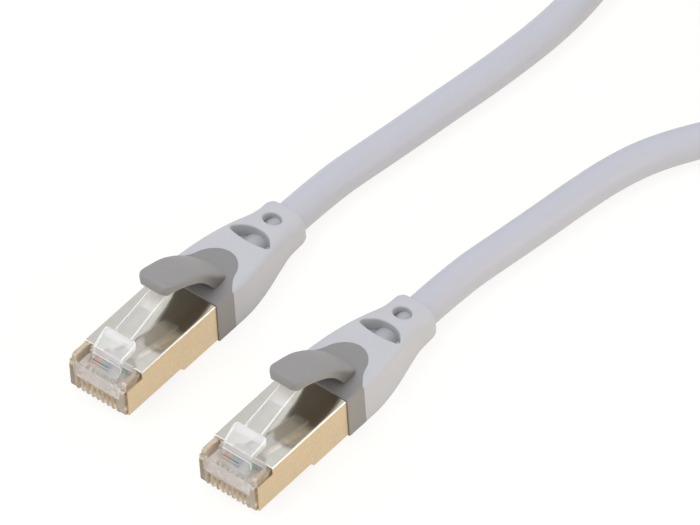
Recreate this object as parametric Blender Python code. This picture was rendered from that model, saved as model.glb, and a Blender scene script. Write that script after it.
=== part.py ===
"""A shielded ethernet patch cable: two plug ends, and the cable between them in a tied coil.

Written in millimetres and built in metres, +Z up. The cable lies on the plane z = 0 with its
latches up. The origin is on that plane, under the middle of the two plugs, and both plugs
point towards -X. Each end is modelled in its own frame: x runs from the nose towards the
cable, y across the plug, z up from the surface.
"""

import math

import bmesh
import bpy
from mathutils import Vector

MM = 0.001
AHEAD = 1.0  # how far a cutter starts outside what it cuts

# ---- placing of the two ends -------------------------------------------------------------
END_PITCH = 28.78  # between the middle lines of the two plugs
END_STAGGER = 2.99  # how far end b lies ahead of end a
END_LENGTH = 45.3  # nose to the end of the boot
END_A = (-(END_LENGTH - END_STAGGER) / 2, END_PITCH / 2)
END_B = (END_A[0] - END_STAGGER, -END_PITCH / 2)

# ---- plug ---------------------------------------------------------------------------------
PLUG_WIDTH = 11.7
SHEET = 0.25  # thickness of the folded screen
SHELL_BOTTOM = 0.25
SHELL_TOP = 7.85
SHELL_SIDE_FRONT = 0.55
SHELL_TOP_FRONT = 4.16
SHELL_BACK = 23.8
NOSE_BOTTOM = 1.35
NOSE_TOP = 6.5
STEP_START = 12.7  # the underside drops here, by NOSE_BOTTOM - SHELL_BOTTOM
STEP_RUN = 1.07
FLOOR_LIP = 0.35  # how far the floor's fold reaches in front of the step
FLOOR_SLANT = 0.12  # how far its inner face is set back

HOUSING_HALF = 5.5
HOUSING_BACK = 17.2
HOUSING_TOP = 7.5  # under the top plate
NOSE_RADIUS = 0.6
LIP_BACK = 0.7  # the low lip at the very front
LIP_SLOPE = ((0.0, 4.4), (0.45, 6.3))  # the lip's front leans back between the two cheeks
LIP_EDGE = 0.25  # bevel on the cheeks' upper front edge
SHOULDER = (3.85, 7.8)  # back and top of the shoulders beside the latch's root
SHOULDER_FRONT = ((0.7, 7.5), (1.0, 7.8))
SHOULDER_INNER = 4.65
SEAT_BACK_GAP = 0.4
ROOT_SEAT = 2.95  # half width of the seat under the latch's root
POCKET_FRONT = 0.9
POCKET_FLOOR = 5.8
HEEL = ((12.2, 1.35), (12.2, 1.75), (12.95, 1.75), (14.0, 0.6), (17.2, 0.6))  # over the screen's step
HOLLOW = ((12.1, 18.0), (-4.8, 4.8), (2.1, 6.9))  # behind the wire channel
CHANNEL = (2.6, 12.3, 3.9, 5.55)  # front, back, bottom, top

WAYS = 8
WAY_PITCH = 1.02
SLOT_WIDTH = 0.6
SLOT_BACK = 6.4
SLOT_TOP = 4.05
BLADE = 0.36
BLADE_FRONT, BLADE_BACK = 0.45, 6.1
BLADE_BOTTOM, BLADE_SHOULDER, BLADE_TINE = 1.8, 3.3, 4.4
BLADE_EDGE = 0.5  # bevel under its front
BLADE_HEAD = (1.0, 3.95)  # back and top of the raised front
TINES = (3.7, 5.1)
TINE_HALF = 0.25

WIRE_RADIUS = 0.45
WIRE_HEIGHT = 5.0
WIRE_START, WIRE_END = 3.0, 17.3
WIRE_BENDS = (11.0, 13.4, 14.2, 16.6)  # drop to the two rows, then gather into columns
WIRE_COLUMN_PITCH = 1.1
WIRE_ROW_RISE = 0.55  # each row's height above or below the cable's line
CHANNEL_HALF = 4.35
COMB = (6.85, 10.8, 3.25, 4.42)  # front, back, bottom, top
COMB_HALF = 4.2
COMB_RIDGE, COMB_RIDGE_HALF = 4.7, 0.14
COMB_GAP = 0.1
COMB_SEAT_TOP = 4.5

# ---- latch ----------------------------------------------------------------------------------
LATCH_PIVOT = (2.3, 6.9)
ROOT_HALF = 2.8
LATCH_ROOT = ((1.2, 6.8), (2.64, 8.3), (3.0, 8.7), (3.8, 8.8), (3.2, 6.8))
LATCH_BASE = ((2.64, 8.3), (2.8, 9.1), (3.3, 9.6), (6.4, 10.75), (6.55, 9.85), (3.6, 8.69))
BASE_PLAN = ((2.0, 2.8), (3.4, 2.85), (5.6, 3.15), (6.1, 3.15), (6.4, 2.95), (6.6, 2.6))
LATCH_LEVER = (
    (5.6, 9.45), (6.0, 10.3), (8.0, 10.8), (14.9, 12.65), (18.2, 13.4), (18.3, 13.0),
    (17.6, 12.75), (12.5, 11.25), (7.6, 9.7), (6.3, 9.3),
)  # fmt: skip
LEVER_PLAN = ((5.0, 1.75), (7.6, 1.75), (12.5, 1.6), (18.0, 1.55), (19.0, 1.45))

# ---- cable --------------------------------------------------------------------------------
CABLE_RADIUS = 2.85
CABLE_EXIT_HEIGHT = 3.25
CABLE_PLUG_HEIGHT = 3.95
TAIL_START = 17.6
BEND_START, BEND_END = 26.0, 42.0
SLEEVE = (17.9, 22.2, 2.95, 3.15)  # front, back, inner and outer radius
FERRULE = (18.6, 23.4, 3.22, 3.42)

# ---- boots ----------------------------------------------------------------------------------
# station x, half width, bottom, top, bottom corner radius, top corner radius
BOOT_STATIONS = (
    (21.7, 6.10, 0.00, 8.10, 0.25, 0.30),
    (25.9, 6.13, 0.00, 8.05, 0.30, 0.80),
    (28.8, 6.13, 0.00, 7.95, 0.40, 1.30),
    (31.9, 5.77, 0.00, 7.78, 0.50, 1.30),
    (35.0, 5.20, 0.00, 7.60, 0.80, 1.30),
    (38.0, 4.56, 0.00, 7.30, 1.30, 1.40),
    (41.1, 4.00, 0.00, 6.85, 1.90, 1.80),
    (43.2, 3.95, 0.00, 6.65, 2.20, 2.20),
    (44.8, 3.92, 0.00, 6.60, 2.30, 2.20),
    (END_LENGTH, 3.70, 0.10, 6.45, 2.20, 2.20),
)
CORNER_STEPS = 4
BEFORE_BOOT = 20.0  # in front of every boot
OVER_BOOT = 10.0
AROUND_BOOT = ((-8.0, 8.0), (-2.0, OVER_BOOT))  # wider and taller than any boot
COLOUR_LINE = 25.55  # where dark meets light on the sides of the boot
SEAM = 0.1
FIELD_BOTTOM = 6.4
# half widths of the dark field on top of the boot, by x
FIELD = (
    (24.6, 6.6), (26.1, 5.4), (27.2, 4.55), (28.3, 4.0), (29.4, 3.6), (30.4, 2.95), (31.2, 2.1),
    (31.75, 1.1),
)  # fmt: skip
FIELD_TIP = 31.95
CORE_RADIUS, CORE_START, CORE_END = 3.55, 24.5, 34.0
CORE_GAP = 0.15
BORE_GAP = 0.15
SOCKET_BACK, SOCKET_HALF, SOCKET_BOTTOM, SOCKET_TOP = 24.1, 5.93, 0.12, 7.93
WINDOW_FLOOR = 4.7
LENS = (35.15, 36.0, 38.3, 4.1)  # front at the middle, the two tips, back at the middle, half width
LENS_STEPS = 12
LENS_BOW = 2.6  # how squarely its back edge bows; 2 is a parabola
ROUND_WINDOW = (41.85, 1.35, 1.65)  # centre, radius along and across

# ---- guard over the latch -------------------------------------------------------------------
GUARD_PIVOT = (25.9, 9.05)
GUARD_ROOT = 0.9  # radius of its rounded root
GUARD_ROOT_ARC = (60, -140, 8)  # from its top to its underside, in degrees and steps
GUARD_GAP = 0.35
SADDLE_HALF = 3.8
GUARD_TOP = (
    (13.65, 15.9), (14.1, 16.4), (14.6, 16.35), (15.5, 15.95), (17.6, 15.1), (20.1, 14.2),
    (21.6, 13.4), (23.1, 12.3), (24.6, 11.0),
)  # fmt: skip
GUARD_UNDER = (
    (24.3, 8.95), (22.9, 10.1), (21.5, 11.75), (20.3, 12.6), (19.2, 13.25), (17.8, 13.9),
    (16.8, 14.3), (15.4, 14.5), (14.4, 14.4), (13.85, 14.5),
)  # fmt: skip
GUARD_PLAN = (
    (13.3, 1.7), (13.8, 2.3), (14.6, 2.75), (16.0, 3.0), (20.0, 3.15), (24.0, 3.25), (27.5, 3.45),
)  # fmt: skip

# ---- loose cable, in the frame of end a ---------------------------------------------------
FACE_GAP = 0.3
LEAD_START = END_LENGTH + FACE_GAP
LEAD_SEEN = (
    (LEAD_START, 0.0, CABLE_EXIT_HEIGHT), (50.0, 0.0, 3.1), (54.0, -0.05, 2.92), (57.5, -0.25, 2.85),
    (61.5, -0.8, 2.85), (67.5, -1.72, 2.85), (73.7, -2.6, 2.85), (79.9, -3.45, 2.85),
)  # fmt: skip
COIL_CENTRE = (155.0, -32.5)
COIL_INNER = 26.2  # radius of the innermost turn's middle line
CLIMB_DIP = 1.0  # how far the climb is drawn in from it
TURN_PITCH = 6.2
TURNS_A_LAYER = 1.5
CLIMB_TURNS = 0.5
POINTS_A_TURN = 24
COIL_END_RUN = 2 * CABLE_RADIUS
COIL_OUTER = COIL_INNER + TURN_PITCH * TURNS_A_LAYER
COIL_ENTRY = (COIL_CENTRE[0] - COIL_END_RUN - FACE_GAP, COIL_CENTRE[1] + COIL_OUTER, CABLE_RADIUS)
COIL_EXIT = (
    COIL_CENTRE[0] - COIL_END_RUN - FACE_GAP,
    COIL_CENTRE[1] - COIL_OUTER,
    CABLE_RADIUS + TURN_PITCH,
)
LEAD_A_FAR = (
    (86.5, -4.4, 2.85), (93.5, -5.2, 2.85), (100.5, -5.7, 2.85), (107.8, -5.6, 2.85),
    (115.6, -4.6, 2.85), (124.0, -2.5, 2.85), (132.7, 0.3, 2.85), (142.0, 2.4, 2.85), COIL_ENTRY,
)  # fmt: skip
LEAD_B_FAR = (
    (83.4, -33.4, 2.85), (89.8, -35.4, 2.85), (96.0, -38.7, 2.85), (102.2, -43.1, 2.85),
    (108.4, -48.1, 2.95), (114.6, -53.1, 3.6), (121.3, -58.0, 5.1), (128.5, -62.3, 7.2),
    (136.0, -65.8, 8.65), (143.4, -67.6, 9.0), COIL_EXIT,
)  # fmt: skip
LEAD_STEP = 6.0  # between the points read from each lead's smooth curve
TIE_LIFT = 1.1  # how far the strap lifts the turns that lie on it
TIE_LIFT_ANGLE = math.radians(40.0)
TIE_THICK, TIE_WIDTH = 0.8, 8.0
TIE_INNER = (24.0, 37.1)  # nearest and furthest inner wall from the coil's centre
TIE_SLACK = 0.3
TIE_CORNER = 1.6


# ---- materials ------------------------------------------------------------------------------
FINISHES = {
    "clear_plastic": ((0.86, 0.82, 0.79, 0.35), 0.12, 0.0),
    "shell_metal": ((0.62, 0.53, 0.38, 1.0), 0.28, 1.0),
    "contact_gold": ((0.80, 0.60, 0.25, 1.0), 0.25, 1.0),
    "comb_plastic": ((0.80, 0.78, 0.74, 1.0), 0.4, 0.0),
    "braid_metal": ((0.60, 0.60, 0.58, 1.0), 0.45, 1.0),
    "ferrule_metal": ((0.55, 0.55, 0.54, 1.0), 0.35, 1.0),
    "boot_dark": ((0.30, 0.29, 0.30, 1.0), 0.5, 0.0),
    "boot_light": ((0.57, 0.57, 0.61, 1.0), 0.5, 0.0),
    "jacket": ((0.56, 0.56, 0.62, 1.0), 0.5, 0.0),
    "tie_fabric": ((0.25, 0.25, 0.27, 1.0), 0.8, 0.0),
}
WIRE_COLOURS = (
    ("white_orange", (0.80, 0.56, 0.40)),
    ("orange", (0.75, 0.25, 0.06)),
    ("white_green", (0.55, 0.72, 0.58)),
    ("blue", (0.09, 0.15, 0.45)),
    ("white_blue", (0.58, 0.62, 0.76)),
    ("green", (0.06, 0.34, 0.16)),
    ("white_brown", (0.66, 0.56, 0.48)),
    ("brown", (0.22, 0.12, 0.07)),
)


def make_material(name, colour, roughness, metallic):
    """A Principled finish of one colour."""
    made = bpy.data.materials.new(name)
    made.use_nodes = True
    shader = made.node_tree.nodes["Principled BSDF"]
    shader.inputs["Base Color"].default_value = (*colour[:3], 1.0)
    shader.inputs["Alpha"].default_value = colour[3]
    shader.inputs["Roughness"].default_value = roughness
    shader.inputs["Metallic"].default_value = metallic
    return made


# ---- mesh helpers: all take millimetres -----------------------------------------------------
def build_mesh(name, points, faces):
    """A mesh in metres from points in millimetres, with its faces turned outwards."""
    made = bpy.data.meshes.new(name)
    made.from_pydata([Vector(p) * MM for p in points], [], faces)
    work = bmesh.new()
    work.from_mesh(made)
    bmesh.ops.recalc_face_normals(work, faces=work.faces)
    work.to_mesh(made)
    work.free()
    return made


def loft(rings):
    """A solid through closed rings of equal point counts, with flat ends."""
    count = len(rings[0])
    points = [p for ring in rings for p in ring]
    faces = [tuple(range(count)), tuple(range(len(points) - count, len(points)))]
    for k in range(len(rings) - 1):
        for i in range(count):
            j = (i + 1) % count
            faces.append((k * count + i, k * count + j, (k + 1) * count + j, (k + 1) * count + i))
    return build_mesh("loft", points, faces)


def prism(outline, low, high, axis="Y"):
    """An outline pushed along an axis: (x, z) along Y, (x, y) along Z, or (y, z) along X."""
    lift = {
        "Y": lambda a, b, t: (a, t, b),
        "Z": lambda a, b, t: (a, b, t),
        "X": lambda a, b, t: (t, a, b),
    }[axis]
    return loft([[lift(a, b, t) for a, b in outline] for t in (low, high)])


def box(x, y, z):
    """A block from three (low, high) pairs."""
    return prism([(x[0], z[0]), (x[1], z[0]), (x[1], z[1]), (x[0], z[1])], y[0], y[1])


def circle(centre, radius, sides):
    """Points round a circle given by its centre's two coordinates."""
    turns = [2 * math.pi * i / sides for i in range(sides)]
    return [(centre[0] + radius * math.cos(t), centre[1] + radius * math.sin(t)) for t in turns]


def arc(centre, radius, start, end, steps):
    """Points along an arc, angles in degrees."""
    angles = [math.radians(start + (end - start) * i / steps) for i in range(steps + 1)]
    return [(centre[0] + radius * math.cos(a), centre[1] + radius * math.sin(a)) for a in angles]


def rounded(half_width, bottom, top, low_radius, high_radius, middle=0.0):
    """A rectangle of (across, up) points with round corners, from its lower right corner."""
    left, right = middle - half_width, middle + half_width
    corners = (
        (right - low_radius, bottom + low_radius, low_radius, -90),
        (right - high_radius, top - high_radius, high_radius, 0),
        (left + high_radius, top - high_radius, high_radius, 90),
        (left + low_radius, bottom + low_radius, low_radius, 180),
    )
    return [p for a, b, r, start in corners for p in arc((a, b), r, start, start + 90, CORNER_STEPS)]


def round_faces(rows, sides):
    """Faces of a solid that closes on itself both ways, such as a ring or a strap."""
    faces = []
    for k in range(rows):
        after = (k + 1) % rows
        for i in range(sides):
            j = (i + 1) % sides
            faces.append((k * sides + i, k * sides + j, after * sides + j, after * sides + i))
    return faces


def ring_solid(x, inner, outer, height, sides=16):
    """A turned ring round the cable's line: x = (front, back), radii, height of its centre."""
    rows = [(x[0], inner), (x[0], outer), (x[1], outer), (x[1], inner)]
    points = [(a, *p) for a, r in rows for p in circle((0.0, height), r, sides)]
    return build_mesh("ring", points, round_faces(len(rows), sides))


def line_curve(name, points, radius, sides_step):
    """A round tube along points in millimetres, as a curve object with closed ends."""
    data = bpy.data.curves.new(name, "CURVE")
    data.dimensions = "3D"
    data.bevel_depth = radius * MM
    data.bevel_resolution = sides_step
    data.use_fill_caps = True
    spline = data.splines.new("POLY")
    spline.points.add(len(points) - 1)
    for place, point in zip(spline.points, points):
        place.co = (*(Vector(point) * MM), 1.0)
    return data


def evaluated_mesh(data, operation=None, operand=None):
    """The mesh of a curve, or of a mesh combined with another one."""
    scratch = bpy.data.objects.new("scratch", data)
    bpy.context.collection.objects.link(scratch)
    used = [scratch]
    if operand is not None:
        tool = bpy.data.objects.new("tool", operand)
        tool.hide_render = True
        tool.display_type = "WIRE"
        bpy.context.collection.objects.link(tool)
        used.append(tool)
        modifier = scratch.modifiers.new(operation.lower(), "BOOLEAN")
        modifier.operation = operation
        modifier.solver = "EXACT"
        modifier.object = tool
    depsgraph = bpy.context.evaluated_depsgraph_get()
    result = bpy.data.meshes.new_from_object(scratch.evaluated_get(depsgraph))
    for thing in used:
        bpy.data.objects.remove(thing)
    return result


def tube(points, radius, sides_step=4):
    """The mesh of a round tube along points."""
    return evaluated_mesh(line_curve("tube", points, radius, sides_step))


def cut(base, *tools):
    """A mesh less every tool, one after another."""
    for tool in tools:
        base = evaluated_mesh(base, "DIFFERENCE", tool)
    return base


def join(base, *others):
    """One mesh of several that overlap."""
    for other in others:
        base = evaluated_mesh(base, "UNION", other)
    return base


def common(base, other):
    """What two meshes share."""
    return evaluated_mesh(base, "INTERSECT", other)


def several(meshes):
    """Separate cutters in one mesh, so that one cut makes them all."""
    work = bmesh.new()
    for piece in meshes:
        work.from_mesh(piece)
    made = bpy.data.meshes.new("several")
    work.to_mesh(made)
    work.free()
    return made


def smooth_line(route, step):
    """Points about a step apart on the smooth curve through a route's points."""
    route = [Vector(p) for p in route]
    ends = [2 * route[0] - route[1], *route, 2 * route[-1] - route[-2]]
    points = []
    for before, start, end, after in zip(ends, ends[1:], ends[2:], ends[3:]):
        pieces = max(1, round((end - start).length / step))
        for i in range(pieces):
            t = i / pieces
            points.append(
                0.5 * (2 * start + (end - before) * t + (2 * before - 5 * start + 4 * end - after) * t**2
                       + (3 * start - before - 3 * end + after) * t**3)
            )  # fmt: skip
    return [*points, route[-1]]


def eased(t):
    """A share from 0 to 1 that starts and ends level."""
    t = min(1.0, max(0.0, t))
    return t * t * (3 - 2 * t)


# ---- the pieces of one end ------------------------------------------------------------------
def way_places():
    """The middle of each contact, across the plug."""
    return [((WAYS - 1) / 2 - i) * WAY_PITCH for i in range(WAYS)]


def make_housing():
    """Clear body: contact slots, wire channel, comb seat, hollow back and two top pockets."""
    back, top = SHOULDER
    outline = [
        *arc((NOSE_RADIUS, NOSE_BOTTOM + NOSE_RADIUS), NOSE_RADIUS, 180, 270, 4),
        *HEEL, (HOUSING_BACK, HOUSING_TOP), (back, HOUSING_TOP), (back, top),
        *reversed(SHOULDER_FRONT), (LIP_BACK, NOSE_TOP), (LIP_EDGE, NOSE_TOP),
        (0.0, NOSE_TOP - LIP_EDGE),
    ]  # fmt: skip
    slots = several(
        box((-AHEAD, SLOT_BACK), (y - SLOT_WIDTH / 2, y + SLOT_WIDTH / 2), (0.0, SLOT_TOP))
        for y in way_places()
    )
    pockets = several(
        box((POCKET_FRONT, back), side, (POCKET_FLOOR, top + AHEAD))
        for side in ((ROOT_SEAT, SHOULDER_INNER), (-SHOULDER_INNER, -ROOT_SEAT))
    )
    low, high = LIP_SLOPE
    lean = [low, high, (high[0], top + AHEAD), (-AHEAD, top + AHEAD), (-AHEAD, low[1])]
    front, end, floor, roof = CHANNEL
    channel_sides = (-CHANNEL_HALF, CHANNEL_HALF)
    return cut(
        prism(outline, -HOUSING_HALF, HOUSING_HALF),
        slots,
        box((front, end), channel_sides, (floor, roof)),
        box((COMB[0] - COMB_GAP, end), channel_sides, (COMB[2] - COMB_GAP, COMB_SEAT_TOP)),
        box(*HOLLOW),
        pockets,
        box(
            (LIP_BACK - COMB_GAP, back + SEAT_BACK_GAP),
            (-SHOULDER_INNER, SHOULDER_INNER),
            (NOSE_TOP, top + AHEAD),
        ),
        prism(lean, -SHOULDER_INNER, SHOULDER_INNER),
    )


def make_contact(y):
    """A stamped blade with two tines that grip the wire above it."""
    head_back, head_top = BLADE_HEAD
    outline = [
        (BLADE_FRONT, BLADE_BOTTOM + BLADE_EDGE),
        (BLADE_FRONT + BLADE_EDGE, BLADE_BOTTOM),
        (BLADE_BACK, BLADE_BOTTOM),
        (BLADE_BACK, BLADE_SHOULDER),
    ]
    for x in reversed(TINES):
        outline.append((x + TINE_HALF, BLADE_SHOULDER))
        outline.append((x, BLADE_TINE))
        outline.append((x - TINE_HALF, BLADE_SHOULDER))
    outline += [(head_back, BLADE_SHOULDER), (head_back, head_top), (BLADE_FRONT, head_top)]
    return prism(outline, y - BLADE / 2, y + BLADE / 2)


def make_comb():
    """Slab with a low ridge between neighbouring wires."""
    front, back, bottom, top = COMB
    outline = [(-COMB_HALF, bottom), (COMB_HALF, bottom), (COMB_HALF, top)]
    places = way_places()
    for left, right in zip(places, places[1:]):
        y = (left + right) / 2
        outline += [(y + COMB_RIDGE_HALF, top), (y, COMB_RIDGE), (y - COMB_RIDGE_HALF, top)]
    outline.append((-COMB_HALF, top))
    return prism(outline, front, back, "X")


def wire_route(i):
    """One conductor: flat row over the contacts, then two rows of four into the cable."""
    y = way_places()[i]
    column = ((WAYS / 2 - 1) / 2 - i // 2) * WIRE_COLUMN_PITCH
    height = CABLE_PLUG_HEIGHT + (WIRE_ROW_RISE if i % 2 == 0 else -WIRE_ROW_RISE)
    drop_start, drop_end, gather_start, gather_end = WIRE_BENDS
    return [
        (WIRE_START, y, WIRE_HEIGHT), (drop_start, y, WIRE_HEIGHT), (drop_end, y, height),
        (gather_start, y, height), (gather_end, column, height), (WIRE_END, column, height),
    ]  # fmt: skip


def make_shell():
    """Folded screen: two sides, a top plate and, behind the step, a floor."""
    half = PLUG_WIDTH / 2
    step_end = STEP_START + STEP_RUN
    outside = [
        (SHELL_SIDE_FRONT, NOSE_BOTTOM), (STEP_START, NOSE_BOTTOM), (step_end, SHELL_BOTTOM),
        (SHELL_BACK, SHELL_BOTTOM), (SHELL_BACK, SHELL_TOP), (SHELL_TOP_FRONT, SHELL_TOP),
        (SHELL_TOP_FRONT, NOSE_TOP), (SHELL_SIDE_FRONT, NOSE_TOP),
    ]  # fmt: skip
    lip, past = STEP_START - FLOOR_LIP, SHELL_BACK + AHEAD
    inside = [
        (-AHEAD, -AHEAD), (lip, -AHEAD), (lip, NOSE_BOTTOM + SHEET),
        (STEP_START + FLOOR_SLANT, NOSE_BOTTOM + SHEET), (step_end + FLOOR_SLANT, SHELL_BOTTOM + SHEET),
        (past, SHELL_BOTTOM + SHEET), (past, SHELL_TOP - SHEET), (-AHEAD, SHELL_TOP - SHEET),
    ]  # fmt: skip
    return cut(prism(outside, -half, half), prism(inside, SHEET - half, half - SHEET))


def cable_height(x):
    """Height of the cable's middle line inside the end, at x."""
    share = eased((x - BEND_START) / (BEND_END - BEND_START))
    return CABLE_PLUG_HEIGHT + (CABLE_EXIT_HEIGHT - CABLE_PLUG_HEIGHT) * share


def cable_line(start, end, pieces=10):
    """The cable's middle line inside the end, from one x to another."""
    stations = [start + (end - start) * i / pieces for i in range(pieces + 1)]
    return [(x, 0.0, cable_height(x)) for x in stations]


def boot_form():
    """The outer form of both boots together."""
    return loft([[(s[0], *p) for p in rounded(*s[1:])] for s in BOOT_STATIONS])


def field_prism(grow):
    """The dark field on top of the boot, seen from above, grown by a gap."""
    edge = [(x, half + grow) for x, half in FIELD]
    outline = [*edge, (FIELD_TIP + grow, 0.0), *[(x, -y) for x, y in reversed(edge)]]
    return prism(outline, FIELD_BOTTOM - grow, OVER_BOOT, "Z")


def make_inner_boot():
    """Dark collar behind the shell, with the field on top and a core inside the light boot."""
    collar = box((BEFORE_BOOT, COLOUR_LINE), *AROUND_BOOT)
    solid = common(boot_form(), join(collar, field_prism(0.0)))
    solid = join(solid, tube(cable_line(CORE_START, CORE_END, 4), CORE_RADIUS))
    groove = prism(circle(GUARD_PIVOT, GUARD_ROOT + GUARD_GAP, 20), -SADDLE_HALF, SADDLE_HALF)
    return cut(
        solid,
        box((BEFORE_BOOT, SOCKET_BACK), (-SOCKET_HALF, SOCKET_HALF), (SOCKET_BOTTOM, SOCKET_TOP)),
        tube(cable_line(SOCKET_BACK - AHEAD, CORE_END + AHEAD, 5), CABLE_RADIUS + BORE_GAP),
        groove,
    )


def lens_outline():
    """Window with a nearly straight front edge and a bowed back edge."""
    front, tips, back, half = LENS
    across = [half * (1 - 2 * i / LENS_STEPS) for i in range(LENS_STEPS + 1)]
    ahead = [(front + (tips - front) * (y / half) ** 2, y) for y in across]
    behind = [(back - (back - tips) * abs(y / half) ** LENS_BOW, y) for y in reversed(across[1:-1])]
    return ahead + behind


def make_outer_boot():
    """Light sleeve behind the dark one, with two windows on the cable."""
    centre, along, across = ROUND_WINDOW
    round_outline = [(centre + along * a, across * b) for a, b in circle((0.0, 0.0), 1.0, 16)]
    return cut(
        boot_form(),
        box((BEFORE_BOOT, COLOUR_LINE + SEAM), *AROUND_BOOT),
        field_prism(SEAM),
        tube(cable_line(CORE_START, CORE_END + CORE_GAP, 4), CORE_RADIUS + CORE_GAP),
        tube(cable_line(CORE_END - AHEAD, END_LENGTH + AHEAD, 10), CABLE_RADIUS + BORE_GAP),
        prism(lens_outline(), WINDOW_FLOOR, OVER_BOOT, "Z"),
        prism(round_outline, WINDOW_FLOOR, OVER_BOOT, "Z"),
    )


def tongue(side, plan):
    """A side outline (x, z) cut to the half widths of a plan, both symmetric about y = 0."""
    widest = max(half for _, half in plan) + 1
    outline = [*plan, *[(x, -half) for x, half in reversed(plan)]]
    return common(prism(side, -widest, widest), prism(outline, 0.0, 2 * OVER_BOOT, "Z"))


def make_guard():
    """Arched tongue over the lever: rounded front in plan, rounded root on its bending line."""
    root = arc(GUARD_PIVOT, GUARD_ROOT, *GUARD_ROOT_ARC)
    return tongue([*GUARD_TOP, *root, *GUARD_UNDER], GUARD_PLAN)


def make_latch():
    """Sloping root, wide base with the two shoulders, and the narrow lever behind it."""
    base = join(prism(LATCH_ROOT, -ROOT_HALF, ROOT_HALF), tongue(LATCH_BASE, BASE_PLAN))
    return join(base, tongue(LATCH_LEVER, LEVER_PLAN))


# ---- the loose cable ------------------------------------------------------------------------
def coil_line():
    """Middle line of the coil, from end a: in on the floor, a climb, and out on top."""
    turns = 2 * TURNS_A_LAYER + CLIMB_TURNS
    count = round(turns * POINTS_A_TURN)
    points = [(COIL_ENTRY[0] + FACE_GAP, *COIL_ENTRY[1:])]
    for i in range(count + 1):
        turn = i / POINTS_A_TURN
        out = max(TURNS_A_LAYER - turn, turn - TURNS_A_LAYER - CLIMB_TURNS, 0.0)
        climb = min(1.0, max(0.0, (turn - TURNS_A_LAYER) / CLIMB_TURNS))
        radius = COIL_INNER + TURN_PITCH * out - CLIMB_DIP * math.sin(math.pi * climb)
        angle = math.pi / 2 - 2 * math.pi * turn
        aside = abs(math.remainder(angle, 2 * math.pi))
        lift = TIE_LIFT * (1 - eased(aside / TIE_LIFT_ANGLE))
        rise = TURN_PITCH * eased(climb)
        points.append(
            (
                COIL_CENTRE[0] + radius * math.cos(angle),
                COIL_CENTRE[1] + radius * math.sin(angle),
                CABLE_RADIUS + rise + lift,
            )
        )
    return [Vector(p) for p in [*points, (COIL_EXIT[0] + FACE_GAP, *COIL_EXIT[1:])]]


def least_gap(points):
    """The least clearance between stretches of a line more than half a turn apart."""
    apart = POINTS_A_TURN // 2
    fine = [a.lerp(b, t / 4) for a, b in zip(points, points[1:]) for t in range(4)]
    least = min(
        (p - q).length for i, p in enumerate(fine) for q in fine[i + 4 * apart :]
    )
    return least - 2 * CABLE_RADIUS


def length_of(points):
    """Length along a line of points."""
    return sum((Vector(a) - Vector(b)).length for a, b in zip(points, points[1:]))


def make_tie():
    """Strap round the four turns at the coil's far side."""
    near, far = TIE_INNER
    middle, half = (near + far) / 2 + COIL_CENTRE[0], (far - near) / 2
    top = TIE_LIFT + TURN_PITCH + 2 * CABLE_RADIUS + TIE_SLACK
    inner = rounded(half, TIE_THICK, top, TIE_CORNER, TIE_CORNER, middle)
    outer = rounded(
        half + TIE_THICK, 0.0, top + TIE_THICK, TIE_CORNER + TIE_THICK, TIE_CORNER + TIE_THICK, middle
    )
    ends = [COIL_CENTRE[1] - TIE_WIDTH / 2, COIL_CENTRE[1] + TIE_WIDTH / 2]
    outlines = (outer, outer, inner, inner)
    points = [(x, y, z) for outline, y in zip(outlines, ends + ends[::-1]) for x, z in outline]
    return build_mesh("tie", points, round_faces(len(outlines), len(inner)))


# ---- assembly -------------------------------------------------------------------------------
def add_object(name, data, material, parent, pivot=None, sharp_angle=40):
    """One named piece under its end's empty, with its origin on its pivot (x, z) if it has one."""
    made = bpy.data.objects.new(name, data)
    made.data.materials.clear()
    made.data.materials.append(material)
    if pivot is not None:
        shift = Vector((pivot[0], 0.0, pivot[1])) * MM
        for vertex in data.vertices:
            vertex.co -= shift
        made.location = shift
    if made.type == "MESH":
        data.shade_smooth()
        data.set_sharp_from_angle(angle=math.radians(sharp_angle))
    made.parent = parent
    bpy.context.collection.objects.link(made)
    return made


def add_frame(name, place):
    """An empty at (x, y) in millimetres, which carries the pieces of one end."""
    frame = bpy.data.objects.new(name, None)
    frame.location = (place[0] * MM, place[1] * MM, 0.0)
    bpy.context.collection.objects.link(frame)
    return frame


def build_end(letter, place, finish, wire_finish):
    """Every piece of one plug end."""
    frame = add_frame(f"end_{letter}", place)
    meshes = (
        ("plug_housing", make_housing(), "clear_plastic", None),
        ("latch", make_latch(), "clear_plastic", LATCH_PIVOT),
        ("shield_shell", make_shell(), "shell_metal", None),
        ("wire_comb", make_comb(), "comb_plastic", None),
        ("screen_sleeve", ring_solid(SLEEVE[:2], *SLEEVE[2:], CABLE_PLUG_HEIGHT), "braid_metal", None),
        ("crimp_ferrule", ring_solid(FERRULE[:2], *FERRULE[2:], CABLE_PLUG_HEIGHT), "ferrule_metal", None),
        ("jacket_tail", tube(cable_line(TAIL_START, END_LENGTH), CABLE_RADIUS), "jacket", None),
        ("inner_boot", make_inner_boot(), "boot_dark", None),
        ("latch_guard", make_guard(), "boot_dark", GUARD_PIVOT),
        ("outer_boot", make_outer_boot(), "boot_light", None),
    )
    for name, data, slot, pivot in meshes:
        add_object(f"{name}_{letter}", data, finish[slot], frame, pivot)
    for i, y in enumerate(way_places()):
        add_object(f"contact_{i + 1}_{letter}", make_contact(y), finish["contact_gold"], frame)
        wire = line_curve(f"conductor_{i + 1}", wire_route(i), WIRE_RADIUS, 1)
        add_object(f"conductor_{i + 1}_{letter}", wire, wire_finish[i], frame)


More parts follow.
